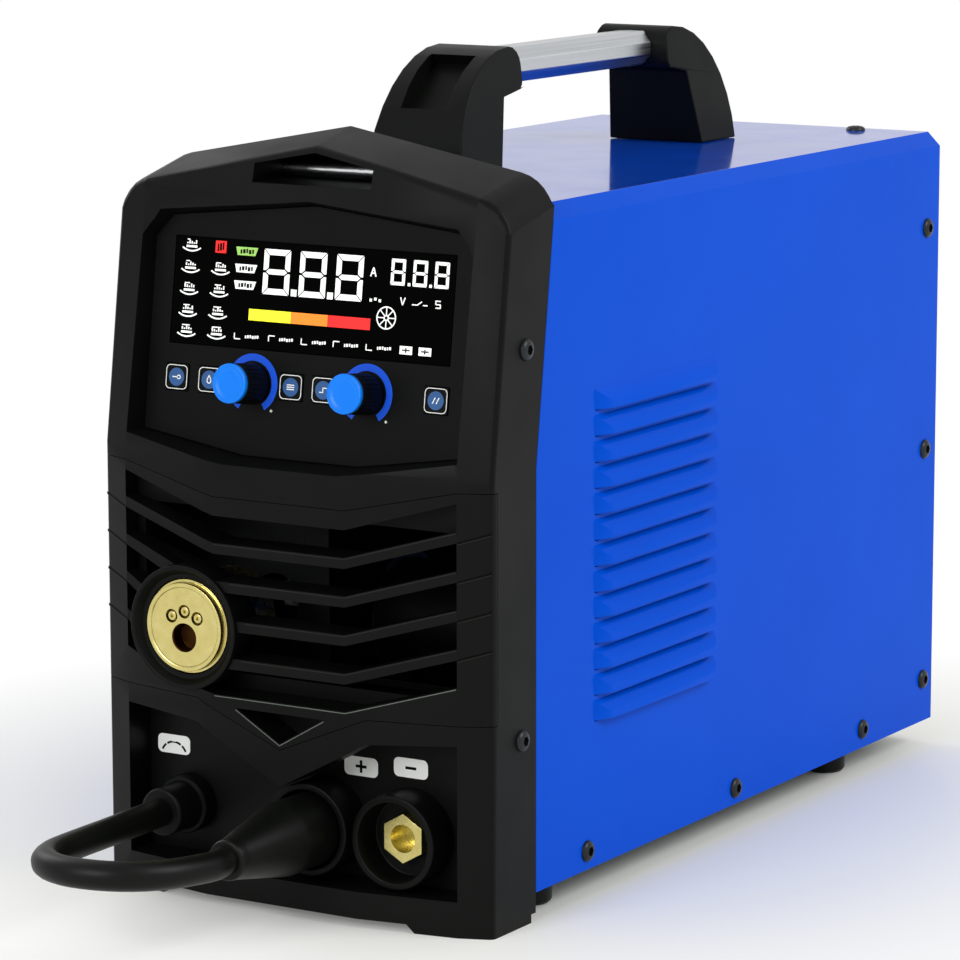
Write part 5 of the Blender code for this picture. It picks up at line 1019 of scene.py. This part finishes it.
def add_glints():
    # pale strokes painted as highlights where light catches the slat tops, the sills and the V cut-out
    flat, side = [], []
    lean = (COLUMN_Y - NOSE_Y) / (INNER - NOSE_SIDE)
    run = (INNER - NOSE_SIDE) * math.hypot(1, lean)
    rise = SLAT_RISE + SLAT_LIFT
    for i in range(SLAT_COUNT):
        low = SLAT_TOP - SLAT_STEP * i - GLINT_DROP
        height = low - EURO_Z
        start = -GRILLE_BEND
        if abs(height) < BOSS_CLEAR:
            start = max(start, EURO_X + math.sqrt(BOSS_CLEAR ** 2 - height ** 2))
        shoulder = low + (NOSE_SIDE - GRILLE_BEND) * rise
        flat.append(stroke(start, low, GRILLE_BEND, low, GLINT))
        flat.append(stroke(GRILLE_BEND, low, NOSE_SIDE, shoulder, GLINT))
        side.append(stroke(0, shoulder, run - 0.0004, low + (INNER - GRILLE_BEND) * rise, GLINT))
    front = Matrix.Translation((0, NOSE_Y, 0))
    slanted = Matrix.Translation((NOSE_SIDE, NOSE_Y, 0)) @ Matrix.Rotation(math.atan(lean), 4, "Z")
    for name, shapes, place in (("front", flat, front), ("side", side, slanted)):
        sills = 2 if name == "front" else 1
        add_print(f"slat_glint_{name}", shapes[:-sills], "case", "edge", place)
        add_print(f"sill_glint_{name}", shapes[-sills:], "case", "glint", place)
    tip = NOTCH_TIP - 2 * GLINT
    wing = NOTCH_WING - 2 * GLINT
    notch = [stroke(-NOTCH_HALF, wing, 0, tip, GLINT), stroke(0, tip, NOTCH_HALF, wing, GLINT)]
    add_print("notch_glint", notch, "case", "glint", front)


# Screws
SCREW_SOCKET = 0.0021


def screw_mesh():
    """A low domed head with a hexagon socket."""
    steps = 24
    radius = SCREW_RADIUS
    hexagon = []
    for i in range(steps):
        turn = 2 * math.pi * i / steps
        flat = ((turn + math.pi / 6) % (math.pi / 3)) - math.pi / 6
        r = SCREW_SOCKET / math.cos(flat)
        hexagon.append((r * math.cos(turn), r * math.sin(turn)))
    rings = [circle(radius, 0.0, steps), circle(radius, 0.0006, steps),
             circle(radius * 0.94, 0.0012, steps),
             circle(radius * 0.80, 0.0018, steps), circle(radius * 0.64, 0.0021, steps),
             [Vector((x, y, 0.0022)) for x, y in hexagon],
             [Vector((x * 0.96, y * 0.96, 0.0006)) for x, y in hexagon]]
    bm = bmesh.new()
    add_rings(bm, rings)
    return bm


def add_screw(name, point, turn, body="case"):
    place = Matrix.Translation(point) @ turn
    return add_piece(name, screw_mesh(), body, SCREW_STEEL, place)


SIDE_SCREWS = ((0.2056, 0.2767), (0.2063, 0.1601), (0.2083, 0.0362), (0.1376, 0.0232), (-0.0015, 0.0215),
               (-0.1466, 0.0223))
BEZEL_SCREWS = ((-0.2018, 0.2632), (-0.2053, 0.0864))
TOP_SCREW_X = 0.062
TOP_SCREW_Y = 0.2075


def add_screws():
    for i, (y, z) in enumerate(SIDE_SCREWS):
        add_screw(f"side_screw_{i + 1}", (HALF, y, z), RIGHTWARD)
    for i, (y, z) in enumerate(BEZEL_SCREWS):
        add_screw(f"bezel_screw_right_{i + 1}", (HALF, y, z), RIGHTWARD)
        add_screw(f"bezel_screw_left_{i + 1}", (-HALF, y, z), LEFTWARD)
    for side in (-1, 1):
        name = "left" if side < 0 else "right"
        add_screw(f"top_screw_{name}", (side * TOP_SCREW_X, TOP_SCREW_Y, CASE_TOP), Matrix())


# Feet and the rest of the case
def add_feet():
    top = 0.013
    for side, x in (("left", -1), ("right", 1)):
        for end in ("front", "rear"):
            node = f"rubber_foot_{end}_{side}"
            low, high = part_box(node)
            place = Matrix.Translation(((low[0] + high[0]) / 2, (low[1] + high[1]) / 2, 0))
            profile = [(0, top), (0.011, top), (0.0104, 0.0016), (0.0088, 0), (0.0052, 0), (0.0046, 0.0012),
                       (0, 0.0012)]
            turned_piece(node, profile, place, ease=0.0008)


EDGES = {
    "case_cover": 0.0004, "front_bezel": 0.0006, "control_panel": 0.0003,
    "side_door": 0.0004, "base_tray": 0.0003, "rear_panel": 0.0003, "handle_post_front": 0.0006,
    "handle_post_rear": 0.0006, "handle_tube": 0.0006, "divider_panel": 0.0003,
    "front_frame": 0.0003, "heat_sink": 0.0003, "transformer": 0.0005, "inverter_board": 0.0002,
    "control_board": 0.0002, "feed_plate": 0.0005, "pressure_arm": 0.0005,
    "drive_roll": 0.0002, "idler_roll": 0.0002, "tension_knob": 0.0005, "spool_hub": 0.0006,
    "spool_nut": 0.0008, "wire_spool": 0.0006, "wire_winding": 0.0004, "fan_frame": 0.0004,
    "fan_guard": 0.0003, "fan_rotor": 0.0003, "power_switch_frame": 0.0005, "power_switch_rocker": 0.0005,
    "mains_gland": 0.0006, "gas_inlet": 0.0003, "door_hinge": 0.0002, "latch_upper": 0.0005,
    "latch_lower": 0.0005,
}


def add_shells():
    for node, width in EDGES.items():
        refine(node, width)
    refine("grip_bar", 0.0006, look=BAR_STEEL)
    refine("front_grille", 0.0005, shape=lift_slats)
    refine("feed_motor", 0.0006, look=MOTOR_BLACK)


# A black sheet on the power side of the divider as painted shade, so the inside seen through the grille
# reads dark; open around the feed motor
SHADE_SHEET_X = -0.0231
SHADE_SHEET_BOX = (-0.1670, 0.185, 0.033, 0.300)
MOTOR_SPOT = (-0.099, 0.112)
MOTOR_CLEAR = 0.032


def add_shade_sheet():
    y_low, y_high, z_low, z_high = SHADE_SHEET_BOX
    y, z = MOTOR_SPOT
    corners = [math.atan2(b - z, a - y) for a in (y_low, y_high) for b in (z_low, z_high)]
    turns = sorted([2 * math.pi * i / 60 - math.pi for i in range(60)] + corners)
    outer, inner = [], []
    for turn in turns:
        c, s = math.cos(turn), math.sin(turn)
        across = ((y_high if c > 0 else y_low) - y) / c if abs(c) > 1e-6 else math.inf
        up = ((z_high if s > 0 else z_low) - z) / s if abs(s) > 1e-6 else math.inf
        reach = min(across, up)
        outer.append((y + reach * c, z + reach * s))
        inner.append((y + MOTOR_CLEAR * c, z + MOTOR_CLEAR * s))
    place = Matrix.Translation((SHADE_SHEET_X, 0, 0)) @ Matrix.Rotation(math.radians(90), 4, "Z")
    # a thin black print laid over the divider as painted shade
    add_print("divider_liner", [(outer, inner)], "case", "black", place, 0.0, 0.0005)


# Rear: fan and panel screws, and the signs on the rocker
FAN_X = 0.040
FAN_Z = 0.190
FAN_SCREW = 0.0485
REAR_SCREWS = ((-0.094, 0.300), (0.094, 0.300), (-0.094, 0.028), (0.094, 0.028))
SWITCH_X = -0.060
SWITCH_Z = 0.272
ROCKER_PIVOT = 0.2215
ROCKER_PROUD = 0.005
ROCKER_DISH = 0.0018
ROCKER_END = 0.01255
ROCKER_TILT = math.radians(9)


def add_rear():
    for i, (x, z) in enumerate(REAR_SCREWS):
        add_screw(f"rear_screw_{i + 1}", (x, REAR_Y, z), REARWARD)
    for i in range(4):
        x = FAN_X + FAN_SCREW * (1 if i % 2 else -1)
        z = FAN_Z + FAN_SCREW * (1 if i > 1 else -1)
        add_screw(f"fan_screw_{i + 1}", (x, REAR_Y, z), REARWARD)
    signs = {"on": [stroke(0, -0.0022, 0, 0.0022, 0.0009)],
             "off": [(disc(0, 0, 0.0025), disc(0, 0, 0.0016))]}
    slope = math.atan2(ROCKER_PROUD - ROCKER_DISH, ROCKER_END)
    pivot = Matrix.Translation((SWITCH_X, ROCKER_PIVOT, SWITCH_Z)) @ Matrix.Rotation(ROCKER_TILT, 4, "X")
    for sign, way in (("on", 1), ("off", -1)):
        middle = Matrix.Translation((0, (ROCKER_PROUD + ROCKER_DISH) / 2, way * ROCKER_END / 2))
        lean = Matrix.Rotation(-way * slope, 4, "X") @ Matrix.Rotation(math.pi, 4, "Z")
        place = pivot @ middle @ lean
        add_print(f"rocker_sign_{sign}", signs[sign], body_of("power_switch_rocker"), "white", place)


add_camera()
add_studio()
add_cable(add_plug())
add_keys()
add_knobs()
add_display()
add_front_fittings()
add_labels()
add_grooves()
add_glints()
add_screws()
add_feet()
add_shells()
add_shade_sheet()
add_rear()
